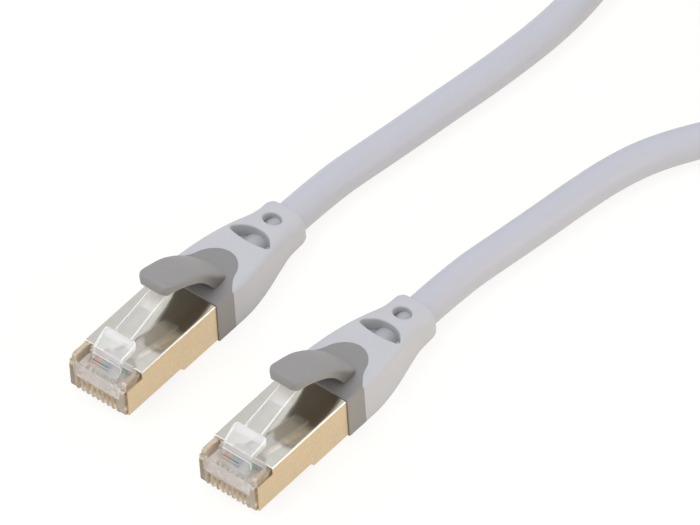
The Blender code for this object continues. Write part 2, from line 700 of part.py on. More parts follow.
def build_cable(finish):
    """The two leads, the coil and its strap, in the frame of end a."""
    frame = add_frame("cable", END_A)
    lead_b_seen = [(x - END_STAGGER, y - END_PITCH, z) for x, y, z in LEAD_SEEN]
    lead_a = smooth_line([*LEAD_SEEN, *LEAD_A_FAR], LEAD_STEP)
    lead_b = smooth_line([*lead_b_seen, *LEAD_B_FAR], LEAD_STEP)
    coil = coil_line()
    for name, points, sides_step in (
        ("cable_lead_a", lead_a, 4),
        ("cable_coil", coil, 1),
        ("cable_lead_b", lead_b, 4),
    ):
        curve = line_curve(name, points, CABLE_RADIUS, sides_step)
        add_object(name, curve, finish["jacket"], frame)
    add_object("coil_tie", make_tie(), finish["tie_fabric"], frame)
    total = length_of(lead_a) + length_of(coil) + length_of(lead_b) + 2 * FACE_GAP
    print(f"cable from boot to boot {total:.1f} mm, least gap in the coil {least_gap(coil):.2f} mm")


def main():
    """Clear the scene, then build both ends and the cable between them."""
    for old in list(bpy.data.objects):
        bpy.data.objects.remove(old, do_unlink=True)
    finish = {name: make_material(name, *values) for name, values in FINISHES.items()}
    wire_finish = [make_material(f"wire_{name}", (*rgb, 1.0), 0.45, 0.0) for name, rgb in WIRE_COLOURS]
    build_end("a", END_A, finish, wire_finish)
    build_end("b", END_B, finish, wire_finish)
    build_cable(finish)


main()
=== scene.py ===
"""Looks of a shielded ethernet patch cable: two plug ends and the cable between them.

Sizes are in millimetres and are turned into metres where a mesh is made. Each end is drawn in
its own frame, x from the nose towards the cable, y across the plug, z up from the surface, and
is then set down at its place. The cable and its strap are drawn in the frame of end a.
"""

import logging
import math
from dataclasses import dataclass, field
from enum import Enum
from functools import partial
from typing import Callable, Sequence

import bmesh
import bpy
from mathutils import Matrix, Vector

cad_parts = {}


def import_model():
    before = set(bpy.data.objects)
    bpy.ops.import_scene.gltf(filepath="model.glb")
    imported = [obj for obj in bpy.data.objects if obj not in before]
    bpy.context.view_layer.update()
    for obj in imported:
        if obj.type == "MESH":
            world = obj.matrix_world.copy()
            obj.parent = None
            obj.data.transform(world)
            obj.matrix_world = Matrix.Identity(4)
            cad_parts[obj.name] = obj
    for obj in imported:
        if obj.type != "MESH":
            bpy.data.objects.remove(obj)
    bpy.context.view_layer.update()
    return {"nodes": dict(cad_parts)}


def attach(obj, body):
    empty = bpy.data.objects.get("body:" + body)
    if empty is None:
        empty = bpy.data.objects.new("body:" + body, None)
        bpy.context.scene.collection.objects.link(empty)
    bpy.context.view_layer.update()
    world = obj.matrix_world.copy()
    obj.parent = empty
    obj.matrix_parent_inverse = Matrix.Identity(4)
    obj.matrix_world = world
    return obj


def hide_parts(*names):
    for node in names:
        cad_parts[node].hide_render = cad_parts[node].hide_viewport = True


MM = 0.001
LOG = logging.getLogger("patch_cable")

Point2 = tuple[float, float]
Point3 = tuple[float, float, float]
Colour = tuple[float, float, float]
Outline = Sequence[Point2]
Route = Sequence[Point3]
Rows = tuple[tuple[float, ...], ...]
Mesh = bpy.types.Mesh
Number = "Shade | float"

FULL_TURN = 2 * math.pi
BRIGHT: Colour = (1.0, 1.0, 1.0)
FAR = math.inf
SAME = 0.01  # places that lie closer than this are one
MERGED = 0.002  # corners that lie closer than this are made one
END_FACES = 2  # a loft's two flat ends are its first faces
CORNER_STEP = math.radians(15)  # of the arcs round a grown outline
FLAT_EDGE = math.radians(0.5)  # an edge that turns by less is no edge
SHARP_EDGE = math.radians(25)  # one that turns by more may be rounded
CRISP_EDGE = math.radians(40)  # one that turns by more is shaded as an edge

# ---- places of the two ends
END_PITCH = 28.78
END_STAGGER = 2.99
END_LENGTH = 45.3
END_A = (-(END_LENGTH - END_STAGGER) / 2, END_PITCH / 2)
END_B = (END_A[0] - END_STAGGER, -END_PITCH / 2)
PLACES = {"a": END_A, "b": END_B}

CABLE_RADIUS = 2.85
CABLE_EXIT_HEIGHT = 3.25
CABLE_PLUG_HEIGHT = 3.95
CABLE_DROP = (26.0, 42.0)  # from the one height to the other
WAYS = 8
WAY_PITCH = 1.02


class Body(Enum):
    """The bodies that pieces move with; the moving ones end in their end's letter."""

    FIXED = "root"
    LATCH = "latch_"
    GUARD = "guard_"

    def of(self, letter: str) -> str:
        """The body's full name at one end."""
        return self.value + letter if self.value.endswith("_") else self.value


class Axis(Enum):
    """The direction in which an outline is pushed, with the order of its two coordinates."""

    X = "X"
    Y = "Y"
    Z = "Z"

    def lift(self, a: float, b: float, t: float) -> Point3:
        """A point from its two coordinates in an outline and its place along the axis."""
        orders = {Axis.X: (t, a, b), Axis.Y: (a, t, b), Axis.Z: (a, b, t)}
        return orders[self]


# ---- shader nodes
class Shade:
    """A shader socket that takes part in sums: each operation adds a node."""

    def __init__(self, nodes: "Nodes", socket: bpy.types.NodeSocket) -> None:
        """Wraps a socket of a node tree."""
        self.nodes = nodes
        self.socket = socket

    def _maths(self, operation: str, *values: Number, clamp: bool = False) -> "Shade":
        """A Math node on these values."""
        inputs = dict(enumerate(values))
        return self.nodes.make("Math", inputs, operation=operation, use_clamp=clamp)[0]

    def __add__(self, other: Number) -> "Shade":
        """Sum."""
        return self._maths("ADD", self, other)

    __radd__ = __add__

    def __sub__(self, other: Number) -> "Shade":
        """Difference."""
        return self._maths("SUBTRACT", self, other)

    def __rsub__(self, other: Number) -> "Shade":
        """Difference the other way round."""
        return self._maths("SUBTRACT", other, self)

    def __mul__(self, other: Number) -> "Shade":
        """Product."""
        return self._maths("MULTIPLY", self, other)

    __rmul__ = __mul__

    def sine(self) -> "Shade":
        """Sine of the value."""
        return self._maths("SINE", self)

    def size(self) -> "Shade":
        """The value without its sign."""
        return self._maths("ABSOLUTE", self)

    def angle_over(self, other: "Shade") -> "Shade":
        """Angle whose tangent is this value over the other one."""
        return self._maths("ARCTAN2", self, other)

    def larger(self, other: Number) -> "Shade":
        """The larger of two values."""
        return self._maths("MAXIMUM", self, other)

    def held(self) -> "Shade":
        """The value kept between 0 and 1."""
        return self._maths("ADD", self, 0.0, clamp=True)

    def between(self, low: float, high: float) -> "Shade":
        """0 below low, 1 above high and smooth between them."""
        values = {0: self, 1: low, 2: high}
        return self.nodes.make("MapRange", values, interpolation_type="SMOOTHSTEP")[0]

    def past(self, low: float, high: float) -> "Shade":
        """0 before low and 1 after high, two places in millimetres."""
        return self.between(low * MM, high * MM)


class Outputs:
    """The outputs of a node, by name or number."""

    def __init__(self, nodes: "Nodes", node: bpy.types.Node) -> None:
        """Wraps a node of a node tree."""
        self.nodes = nodes
        self.node = node

    def __getitem__(self, name: str | int) -> Shade:
        """One output."""
        return Shade(self.nodes, self.node.outputs[name])


class Nodes:
    """A node tree that is written as expressions."""

    def __init__(self, tree: bpy.types.NodeTree) -> None:
        """Takes an empty tree."""
        self.tree = tree
        tree.nodes.clear()

    def make(self, kind: str, values: dict | None = None, **settings: str | bool) -> Outputs:
        """Adds a node.

        Args:
            kind: The node's type, without the first words that all shader nodes share.
            values: Values or links of its inputs, by name or number.
            settings: What is set first, such as an operation.

        Returns:
            The node's outputs.
        """
        node = self.tree.nodes.new("ShaderNode" + kind)
        for name, value in settings.items():
            setattr(node, name, value)
        for name, value in (values or {}).items():
            if isinstance(value, Shade):
                self.tree.links.new(value.socket, node.inputs[name])
            else:
                node.inputs[name].default_value = value
        return Outputs(self, node)

    def place(self) -> Shade:
        """Where a point lies in its piece's own frame, in metres."""
        return self.make("TexCoord")["Object"]

    def stretched(self, place: Shade, scale: Point3) -> Shade:
        """A place with each coordinate multiplied."""
        values = {"Vector": place, "Scale": scale}
        return self.make("Mapping", values, vector_type="POINT")[0]

    def parts(self, place: Shade) -> tuple[Shade, Shade, Shade]:
        """The three coordinates of a place."""
        split = self.make("SeparateXYZ", {0: place})
        return split[0], split[1], split[2]

    def noise(self, place: Shade, size: float, detail: float = 2.0, rough: float = 0.5) -> Shade:
        """Soft random values from 0 to 1 whose patches are about a size across, in millimetres."""
        values = {"Vector": place, "Scale": 1.0 / (size * MM), "Detail": detail, "Roughness": rough}
        return self.make("TexNoise", values)["Fac"]

    def mix(self, share: Number, first: Colour | Shade, second: Colour | Shade) -> Shade:
        """Two colours mixed.

        Args:
            share: 0 for the first colour alone, 1 for the second alone.
            first: The first colour.
            second: The second colour.

        Returns:
            The mixed colour.
        """
        colours = [c if isinstance(c, Shade) else (*c, 1.0) for c in (first, second)]
        values = {0: share, 6: colours[0], 7: colours[1]}
        return self.make("Mix", values, data_type="RGBA")[2]

    def times(self, first: Shade, second: Shade) -> Shade:
        """Two colours multiplied."""
        values = {0: 1.0, 6: first, 7: second}
        return self.make("Mix", values, data_type="RGBA", blend_type="MULTIPLY")[2]

    def facing(self) -> tuple[Shade, Shade, Shade]:
        """The three parts of the way a surface faces, in its piece's own frame."""
        return self.parts(self.make("TexCoord")["Normal"])

    def surface(
        self, colour: Shade, roughness: Number, height: Shade, depth: float, **more: float
    ) -> Shade:
        """A Principled surface with a bump.

        Args:
            colour: Its base colour.
            roughness: Its roughness.
            height: The bump's height, from 0 to 1.
            depth: The bump's depth in millimetres.
            more: Its other inputs, with their names' spaces as underscores.

        Returns:
            The surface.
        """
        bump = self.make("Bump", {"Height": height, "Distance": depth * MM, "Strength": 1.0})
        values = {"Base Color": colour, "Roughness": roughness, "Normal": bump[0]}
        values |= {name.replace("_", " "): value for name, value in more.items()}
        return self.make("BsdfPrincipled", values)[0]

    def seen_through(self, surface: Shade, share: float) -> Shade:
        """A surface that lets the lamps' light through to what is behind it.

        Args:
            surface: The surface itself.
            share: How much of the light passes.

        Returns:
            The surface with its clear shadow.
        """
        path = self.make("LightPath")["Is Shadow Ray"]
        clear = self.make("BsdfTransparent", {0: (*BRIGHT, 1.0)})[0]
        return self.make("MixShader", {0: path * share, 1: surface, 2: clear})[0]

    def direct_views(self) -> Shade:
        """What tells a look from other light.

        Returns:
            1 for what is seen straight, in a mirror or through glass, and 0 for other light.
        """
        path = self.make("LightPath")
        seen = path["Is Camera Ray"].larger(path["Is Glossy Ray"])
        return seen.larger(path["Is Transmission Ray"])


def scaled(colour: Colour, factor: float) -> Colour:
    """A colour made lighter or darker."""
    return (colour[0] * factor, colour[1] * factor, colour[2] * factor)


# ---- finishes
@dataclass(frozen=True)
class Finish:
    """One surface finish; slot is the record's name for it."""

    slot: str

    def shader(self, nodes: Nodes) -> Shade:
        """The surface, made by each kind of finish."""
        raise NotImplementedError

    def material(self) -> bpy.types.Material:
        """The finish as a material, made once.

        Returns:
            The material.
        """
        if self not in MATERIALS:
            made = bpy.data.materials.new(f"finish_{self.slot}")
            made.use_nodes = True
            nodes = Nodes(made.node_tree)
            nodes.make("OutputMaterial", {"Surface": self.shader(nodes)})
            MATERIALS[self] = made
        return MATERIALS[self]


MATERIALS: dict[Finish, bpy.types.Material] = {}


@dataclass(frozen=True)
class Moulding(Finish):
    """Soft moulded plastic with a fine spark-eroded grain."""

    colour: Colour
    roughness: float = 0.5
    grain_size: float = 0.16
    grain_depth: float = 0.006
    mottle: float = 0.03
    # painted shade: a darker colour for faces that look up
    painted_top_shade: Colour | None = None
    looks_up: Point2 = (0.4, 0.8)

    def with_painted_shading(self, nodes: Nodes, colour: Shade) -> Shade:
        """The colour with painted shade on faces that look up, where it has one.

        Args:
            nodes: The material's node tree.
            colour: The plain colour.

        Returns:
            The colour with its painted shading.
        """
        if self.painted_top_shade is None:
            return colour
        return nodes.mix(nodes.facing()[2].between(*self.looks_up), colour, self.painted_top_shade)

    def shader(self, nodes: Nodes) -> Shade:
        """Mottled colour under a fine grain.

        Args:
            nodes: The material's node tree.

        Returns:
            The surface.
        """
        place = nodes.place()
        patches = nodes.noise(place, size=3.2, detail=3.0)
        grain = nodes.noise(place, self.grain_size, detail=2.0, rough=0.6)
        dark, light = scaled(self.colour, 1 - self.mottle), scaled(self.colour, 1 + self.mottle)
        colour = self.with_painted_shading(nodes, nodes.mix(patches, dark, light))
        roughness = self.roughness + 0.1 * (grain - 0.5) + 0.06 * (patches - 0.5)
        return nodes.surface(colour, roughness, grain, self.grain_depth)


@dataclass(frozen=True)
class GuardMoulding(Moulding):
    """The guard's plastic, with painted shade that makes it brown below and darker round its root,
    and painted light that makes it paler under its lip.
    """

    # painted shade: faces that look down are darker and brown
    underside: Colour = (0.21, 0.18, 0.147)
    # painted light: under the lip the underside is paler, so that its image in the top plate's
    # mirror is lighter
    painted_lip_underside_light: Colour = (0.85, 0.80, 0.70)
    lip_end: Point2 = (16.9, 18.4)
    # painted shade round the root, on faces that don't look up
    root: Colour = (0.15, 0.137, 0.128)
    painted_root_shade_start: Point2 = (20.0, 25.0)
    painted_root_shade_turns_up: Point2 = (0.1, 0.6)
    looks_down: Point2 = (0.1, 0.5)

    def with_painted_shading(self, nodes: Nodes, colour: Shade) -> Shade:
        """The colour with painted shade on the underside and round the root, and painted light
        under the lip.

        Args:
            nodes: The material's node tree.
            colour: The plain colour.

        Returns:
            The colour with its painted light and shade.
        """
        along = nodes.parts(nodes.place())[0]
        up = nodes.facing()[2]
        root = along.past(*self.painted_root_shade_start) * (1.0 - up.between(*self.painted_root_shade_turns_up))
        below = nodes.mix(along.past(*self.lip_end), self.painted_lip_underside_light, self.underside)
        with_root_shade = nodes.mix(root, colour, self.root)
        return nodes.mix((up * -1.0).between(*self.looks_down), with_root_shade, below)


@dataclass(frozen=True)
class Jacket(Finish):
    """Extruded sheath: satin, with the cores showing as a faint slow waviness."""

    colour: Colour
    roughness: float = 0.46
    wave_depth: float = 0.05

    def shader(self, nodes: Nodes) -> Shade:
        """Slightly cloudy colour, faint scuffs and a soft bump.

        Args:
            nodes: The material's node tree.

        Returns:
            The surface.
        """
        place = nodes.place()
        cloud = nodes.noise(place, size=7.0, detail=3.0)
        wave = nodes.noise(place, size=4.5, detail=1.0)
        grain = nodes.noise(place, size=0.22, detail=2.0)
        colour = nodes.mix(cloud, scaled(self.colour, 0.975), scaled(self.colour, 1.025))
        roughness = self.roughness + 0.1 * (cloud - 0.5)
        height = 0.9 * wave + 0.1 * grain
        return nodes.surface(
            colour, roughness, height, self.wave_depth, Sheen_Weight=0.2, Sheen_Roughness=0.4
        )


@dataclass(frozen=True)
class ClearPlastic(Finish):
    """Transparent moulded plastic with faint flow marks; its front and cheeks may carry painted
    reflections and highlights.
    """

    slot: str = field(default="clear_plastic", kw_only=True)
    colour: Colour = (0.985, 0.965, 0.95)
    index: float = 1.36
    clearness: float = 0.72
    # painted reflection and highlight colours of the front, mixed by soft noise: warm where gilt
    # metal shows, cream where the lip catches light
    front: Colour | None = None
    painted_front_streak: Colour = (0.95, 0.86, 0.83)
    front_end: Point2 = (4.0, 5.0)
    # painted reflections of the gilt sheet beside the cheeks, each side at its own painted
    # brightness
    left_cheek_reflection: Colour = (0.85, 0.73, 0.56)
    right_cheek_reflection: Colour = (0.72, 0.62, 0.48)
    cheek_start: Point2 = (4.35, 4.75)
    roughness: float = 0.06
    flow_depth: float = 0.02
    light_through: float = 0.85
    # a dark line across: its x and half its width, and where it starts and ends across
    seam: tuple[float, float, float, float] | None = None
    dark_line_colour: Colour = (0.16, 0.15, 0.18)
    dark_line_fade: float = 0.2

    def dark_line_at(self, along: Shade, across: Shade) -> Shade:
        """1 on the dark line.

        Args:
            along: The place along the plug.
            across: The place across it.

        Returns:
            The share of the line's colour.
        """
        x, half, low, high = self.seam
        line = 1.0 - (along - x * MM).size().past(half, 2 * half)
        line = line * across.past(low, low + self.dark_line_fade)
        return line * (1.0 - across.past(high - self.dark_line_fade, high))

    def shader(self, nodes: Nodes) -> Shade:
        """Clear surface with soft flow marks; lamps reach what is inside.

        The cheeks are painted with the reflection of the gilt sheet that they lie against.

        Args:
            nodes: The material's node tree.

        Returns:
            The surface.
        """
        place = nodes.place()
        along, across, _ = nodes.parts(place)
        flow = nodes.noise(nodes.stretched(place, (0.5, 1.0, 1.0)), size=1.6, detail=2.0)
        streaks = nodes.noise(place, size=0.7, detail=3.0, rough=0.6).between(0.38, 0.62)
        colour = nodes.mix(flow, scaled(self.colour, 0.97), self.colour)
        if self.front is not None:
            painted_front_light = nodes.mix(streaks, self.front, self.painted_front_streak)
            colour = nodes.mix(along.past(*self.front_end), painted_front_light, colour)
        colour = nodes.mix(across.past(*self.cheek_start), colour, self.left_cheek_reflection)
        colour = nodes.mix((-1.0 * across).past(*self.cheek_start), colour, self.right_cheek_reflection)
        if self.seam is not None:
            colour = nodes.mix(self.dark_line_at(along, across), colour, self.dark_line_colour)
        roughness = self.roughness + 0.06 * flow
        height = 0.5 * flow + 0.5 * streaks
        surface = nodes.surface(
            colour, roughness, height, self.flow_depth, IOR=self.index,
            Transmission_Weight=self.clearness,
        )  # fmt: skip
        return nodes.seen_through(surface, self.light_through)


@dataclass(frozen=True)
class ShellMetal(Finish):
    """Plated sheet: bright on the top plate, satin and golden on the sides, white at its edges with
    painted highlights; the top's grey and the sides' gold are partly the plating and partly painted
    reflection.
    """

    # partly the plating's colour and partly painted reflection: cool grey on top, warm gold on the
    # sides
    top_colour: Colour = (0.70, 0.685, 0.64)
    side_colour: Colour = (0.74, 0.595, 0.385)
    warm_colour: Colour = (0.80, 0.58, 0.36)
    # painted highlight on the top folds and the plate's cut front edge
    edge_highlight_colour: Colour = (0.98, 0.95, 0.88)
    # partly stain and partly painted reflection: the guard's dark image in the plate, painted brown
    # on its right rear
    stain_and_reflection_colour: Colour = (0.60, 0.55, 0.46)
    stain_and_reflection_along: Point2 = (9.0, 16.0)
    stain_and_reflection_across: Point2 = (1.5, 4.5)
    shade_colour: Colour = (0.56, 0.555, 0.52)
    shade_across: Point2 = (1.5, 3.0)
    # painted reflection: a light stripe across the top plate where it mirrors bright light
    reflection_streak_colour: Colour = (0.93, 0.87, 0.79)
    # how far aside it runs for each millimetre along, where it would start, half its width
    reflection_streak: Point3 = (0.2315, -1.64, 0.7)
    reflection_streak_core: float = 0.3  # the share of its width at full strength
    reflection_streak_share: float = 0.85
    reflection_streak_start: Point2 = (5.5, 7.0)
    reflection_streak_end: Point2 = (11.0, 13.5)
    fold: Point2 = (7.62, 7.82)
    fold_edge: Point2 = (7.60, 7.68)
    fold_highlight_across: Point2 = (5.64, 5.72)
    cut_edge: Point2 = (4.26, 4.36)
    cut_height: Point2 = (7.52, 7.62)
    wave_depth: float = 0.02

    def edges(self, along: Shade, across: Shade, height: Shade) -> Shade:
        """1 on the top folds and on the cut front edge of the top plate, where highlights are
        painted.

        Args:
            along: The place along the plug.
            across: The place across it.
            height: The place above the surface.

        Returns:
            The share of the painted highlight.
        """
        fold = across.size().past(*self.fold_highlight_across) * height.past(*self.fold_edge)
        front = (1.0 - along.past(*self.cut_edge)) * height.past(*self.cut_height)
        return fold.larger(front)

    def plate(self, nodes: Nodes, cloud: Shade, along: Shade, across: Shade) -> Shade:
        """Colour of the top plate: stains in patches, a brown patch on its right rear that is
        partly stain and partly the guard's painted reflection, painted shade on its left and a
        painted reflection stripe.

        Args:
            nodes: The material's node tree.
            cloud: Slow random values.
            along: The place along the plug.
            across: The place across it.

        Returns:
            The colour.
        """
        stained_and_reflected = along.past(*self.stain_and_reflection_along) * (-1.0 * across).past(*self.stain_and_reflection_across)
        stained_and_reflected = (stained_and_reflected * (0.6 + 0.4 * cloud)).larger(0.45 * cloud.between(0.45, 0.7))
        colour = nodes.mix(stained_and_reflected, self.top_colour, self.stain_and_reflection_colour)
        colour = nodes.mix(0.45 * across.past(*self.shade_across), colour, self.shade_colour)
        slant, offset, width = self.reflection_streak
        beside = (across + slant * along - offset * MM).size()
        core = self.reflection_streak_core * width
        reflection_streak = (1.0 - beside.past(core, width)) * along.past(*self.reflection_streak_start)
        reflection_streak = reflection_streak * (1.0 - along.past(*self.reflection_streak_end))
        return nodes.mix(self.reflection_streak_share * reflection_streak, colour, self.reflection_streak_colour)

    def shader(self, nodes: Nodes) -> Shade:
        """Rolled sheet whose finish changes at the fold.

        Args:
            nodes: The material's node tree.

        Returns:
            The surface.
        """
        place = nodes.place()
        along, across, height = nodes.parts(place)
        top = height.past(*self.fold)
        cloud = nodes.noise(place, size=2.6, detail=3.0)
        rolled = nodes.noise(nodes.stretched(place, (0.12, 1.0, 1.0)), size=0.12, detail=2.0)
        speck = nodes.noise(place, size=0.35, detail=3.0, rough=0.65)
        tall = nodes.stretched(place, (1.0, 1.0, 0.6))
        blotch = nodes.noise(tall, size=1.1, detail=3.0, rough=0.6).between(0.35, 0.7)
        side = nodes.mix(0.75 * blotch, self.side_colour, self.warm_colour)
        sheet = nodes.mix(top, side, self.plate(nodes, cloud, along, across))
        grain = 0.4 * cloud + 0.5 * speck + (1.0 - top) * 1.3 * (speck - 0.5)
        shaded = nodes.mix(grain.held(), scaled(BRIGHT, 0.80), BRIGHT)
        satin = 0.30 + 0.10 * speck + 0.04 * cloud
        bright = 0.09 + 0.06 * cloud
        edges = self.edges(along, across, height)
        # painted highlight on the folds and the cut edge
        colour = nodes.mix(edges, nodes.times(sheet, shaded), self.edge_highlight_colour)
        roughness = satin + top * (bright - satin)
        waves = 0.8 * cloud + 0.2 * rolled
        return nodes.surface(colour, roughness, waves, self.wave_depth, Metallic=1.0)


@dataclass(frozen=True)
class PlainMetal(Finish):
    """Plated or drawn metal with faint stains."""

    colour: Colour
    roughness: float = 0.3
    line_depth: float = 0.004

    def shader(self, nodes: Nodes) -> Shade:
        """Metal with cloudy tarnish and drawn lines.

        Args:
            nodes: The material's node tree.

        Returns:
            The surface.
        """
        place = nodes.place()
        cloud = nodes.noise(place, size=0.9, detail=3.0)
        lines = nodes.noise(nodes.stretched(place, (0.1, 1.0, 1.0)), size=0.08, detail=1.0)
        colour = nodes.mix(cloud, scaled(self.colour, 0.82), self.colour)
        roughness = self.roughness + 0.12 * (cloud - 0.5)
        return nodes.surface(colour, roughness, lines, self.line_depth, Metallic=1.0)


@dataclass(frozen=True)
class Insulation(Finish):
    """Conductor insulation, plain or white with coloured marks along it."""

    colour: Colour
    marks: Colour | None = None
    mark_pitch: float = 2.2
    roughness: float = 0.32
    cloud_depth: float = 0.01

    def shader(self, nodes: Nodes) -> Shade:
        """Glossy plastic; a marked wire has slanting bands.

        Args:
            nodes: The material's node tree.

        Returns:
            The surface.
        """
        place = nodes.place()
        along, across, up = nodes.parts(place)
        cloud = nodes.noise(place, size=0.8, detail=2.0)
        colour: Shade = nodes.mix(cloud, scaled(self.colour, 0.93), self.colour)
        if self.marks is not None:
            slant = along + 0.5 * across + 0.5 * up
            wave = (slant * (FULL_TURN / (self.mark_pitch * MM))).sine()
            colour = nodes.mix(wave.between(0.25, 0.4), colour, self.marks)
        return nodes.surface(colour, self.roughness + 0.08 * cloud, cloud, self.cloud_depth)


@dataclass(frozen=True)
class Braid(Finish):
    """Wire braid folded back over the jacket, woven both ways round."""

    colour: Colour
    height: float = CABLE_PLUG_HEIGHT
    strands: int = 14
    lay: float = 15.5
    depth: float = 0.08

    def shader(self, nodes: Nodes) -> Shade:
        """Two crossing sets of strands round the cable's line, with painted shade in the hollows
        between them.

        Args:
            nodes: The material's node tree.

        Returns:
            The surface.
        """
        along, across, up = nodes.parts(nodes.place())
        turn = (up - self.height * MM).angle_over(across)
        run = along * (FULL_TURN * self.strands / (self.lay * MM))
        weave = (run + turn * self.strands).sine() * (run - turn * self.strands).sine()
        strand = 0.5 + 0.5 * weave
        # painted shade: darker where the weave is low
        colour = nodes.mix(strand, scaled(self.colour, 0.35), self.colour)
        return nodes.surface(colour, 0.5 - 0.15 * strand, strand, self.depth, Metallic=1.0)


@dataclass(frozen=True)
class Strap(Finish):
    """Hook-and-loop strap: a napped woven band."""

    colour: Colour
    thread_pitch: float = 0.7
    depth: float = 0.12

    def shader(self, nodes: Nodes) -> Shade:
        """Nap over a fine cross weave, with painted shade in its hollows.

        Args:
            nodes: The material's node tree.

        Returns:
            The surface.
        """
        place = nodes.place()
        along, across, up = nodes.parts(place)
        thread = FULL_TURN / (self.thread_pitch * MM)
        weave = (across * thread).sine() * ((along + up) * thread).sine()
        nap = nodes.noise(place, size=0.3, detail=4.0, rough=0.7)
        height = 0.3 + 0.2 * weave + 0.5 * nap
        # painted shade: darker where the weave and nap are low, lighter where they are high
        colour = nodes.mix(height, scaled(self.colour, 0.55), scaled(self.colour, 1.35))
        return nodes.surface(colour, 0.85 + 0.1 * nap, height, self.depth, Sheen_Weight=0.3)


# the housing's zones: their front colours are painted reflections of the gilt contacts and sheet
# and painted highlights on the lip
CLEAR = ClearPlastic(front=(0.93, 0.84, 0.70), front_end=(0.6, 3.4))
LIP = ClearPlastic(
    front=(1.0, 1.0, 0.98), painted_front_streak=(0.97, 0.87, 0.87), left_cheek_reflection=(0.84, 0.77, 0.62),
    right_cheek_reflection=(0.94, 0.86, 0.76), clearness=0.45, roughness=0.1, flow_depth=0.35,
)  # fmt: skip
RIBS = ClearPlastic(
    front=(0.80, 0.68, 0.49), painted_front_streak=(0.95, 0.87, 0.72), left_cheek_reflection=(0.54, 0.46, 0.34),
    right_cheek_reflection=(0.90, 0.83, 0.72), clearness=0.6, roughness=0.1, flow_depth=0.06,
)  # fmt: skip
SILL = ClearPlastic(
    front=(0.94, 0.90, 0.93), painted_front_streak=(0.97, 0.88, 0.88), front_end=(6.0, 7.0), index=1.2,
    clearness=0.25, roughness=0.2,
)  # fmt: skip
OVER_WIRES = ClearPlastic((0.99, 1.0, 0.98), 1.2, 0.84)
# painted shade: the top pockets are darker
POCKETS_PAINTED_SHADE = ClearPlastic((0.90, 0.86, 0.87), 1.3, 0.6, flow_depth=0.1)
LATCH_CLEAR = ClearPlastic((0.97, 0.975, 0.99), 1.16, 0.84)
LATCH_RAMP = ClearPlastic((0.98, 0.975, 0.97), 1.16, 0.97, seam=(1.98, 0.035, -1.1, 2.6))
LATCH_LEVER = ClearPlastic((0.90, 0.90, 0.93), 1.16, 0.92)
LATCH_EARS = ClearPlastic((0.98, 0.975, 1.0), 1.16, 0.6)
# painted light: the tail, in the guard's shade, is whiter and more mirror-like
LATCH_TAIL_PAINTED_LIGHT = ClearPlastic((1.0, 1.0, 1.0), 1.42, 0.78)
# painted light: the two undersides are lighter so that their image in the top plate's mirror is
# lighter
LATCH_UNDER_PAINTED_LIGHT = ClearPlastic((0.95, 0.94, 0.92), 1.16, 0.94)
LATCH_UNDER_TAIL_PAINTED_LIGHT = ClearPlastic((0.94, 0.92, 0.90), 1.16, 0.6, roughness=0.2)
# painted highlight: a whiter, less clear finish along the latch's corners, rims and bends
LATCH_EDGE_HIGHLIGHT = ClearPlastic((0.99, 0.99, 1.0), 1.3, 0.25, roughness=0.1)
SHELL = ShellMetal("shell_metal")
GOLD = PlainMetal("contact_gold", (0.84, 0.64, 0.34), roughness=0.24)
COMB = Moulding("comb_plastic", (0.78, 0.76, 0.72), roughness=0.4, grain_size=0.3, grain_depth=0.01)
BRAID = Braid("braid_metal", (0.66, 0.66, 0.64))
FERRULE = PlainMetal("ferrule_metal", (0.58, 0.58, 0.57), roughness=0.34)
# the collar is painted darker on faces that look up: painted shade
DARK = Moulding("boot_dark", (0.290, 0.278, 0.276), painted_top_shade=(0.262, 0.257, 0.264))
GUARD = GuardMoulding("boot_dark", (0.288, 0.281, 0.286))
LIGHT = Moulding("boot_light", (0.545, 0.555, 0.603))
# painted shade: the windows' walls are darker
WINDOW_WALL_SHADE = Moulding("boot_light", (0.50, 0.505, 0.52))
JACKET = Jacket("jacket", (0.525, 0.535, 0.61))
# painted shade: the cable inside the boots is darker where it shows in the windows
JACKET_IN_PAINTED_SHADE = Jacket("jacket", (0.50, 0.505, 0.54))
STRAP = Strap("tie_fabric", (0.07, 0.07, 0.08))

WHITE = (0.78, 0.76, 0.72)
WIRES = (
    Insulation("wire_white_orange", WHITE, (0.85, 0.26, 0.05)),
    Insulation("wire_orange", (0.80, 0.20, 0.04)),
    Insulation("wire_white_green", WHITE, (0.05, 0.42, 0.18)),
    Insulation("wire_blue", (0.04, 0.10, 0.48)),
    Insulation("wire_white_blue", WHITE, (0.08, 0.16, 0.55)),
    Insulation("wire_green", (0.0, 0.40, 0.16)),
    Insulation("wire_white_brown", WHITE, (0.26, 0.12, 0.05)),
    Insulation("wire_brown", (0.20, 0.09, 0.04)),
)


# ---- shapes: all take millimetres
def mesh_of(points: Route, faces: Sequence[Sequence[int]]) -> Mesh:
    """A mesh in metres with its faces turned outwards.

    Args:
        points: Corners in millimetres.
        faces: Corner numbers of each face.

    Returns:
        The mesh.
    """
    made = bpy.data.meshes.new("form")
    made.from_pydata([Vector(p) * MM for p in points], [], faces)
    work = bmesh.new()
    work.from_mesh(made)
    bmesh.ops.recalc_face_normals(work, faces=work.faces)
    work.to_mesh(made)
    work.free()
    return made


def loft(rings: Sequence[Route], closed: bool = False) -> Mesh:
    """A solid through rings of equal point counts.

    Args:
        rings: The rings, each a list of points in order round it.
        closed: True where the last ring meets the first, as in a hoop.

    Returns:
        The mesh, with flat ends unless it is closed.
    """
    count = len(rings[0])
    points = [p for ring in rings for p in ring]
    faces: list[tuple[int, ...]] = []
    if not closed:
        faces += [tuple(range(count)), tuple(range(len(points) - count, len(points)))]
    for k in range(len(rings) if closed else len(rings) - 1):
        after = (k + 1) % len(rings)
        for i in range(count):
            j = (i + 1) % count
            faces.append((k * count + i, k * count + j, after * count + j, after * count + i))
    return mesh_of(points, faces)


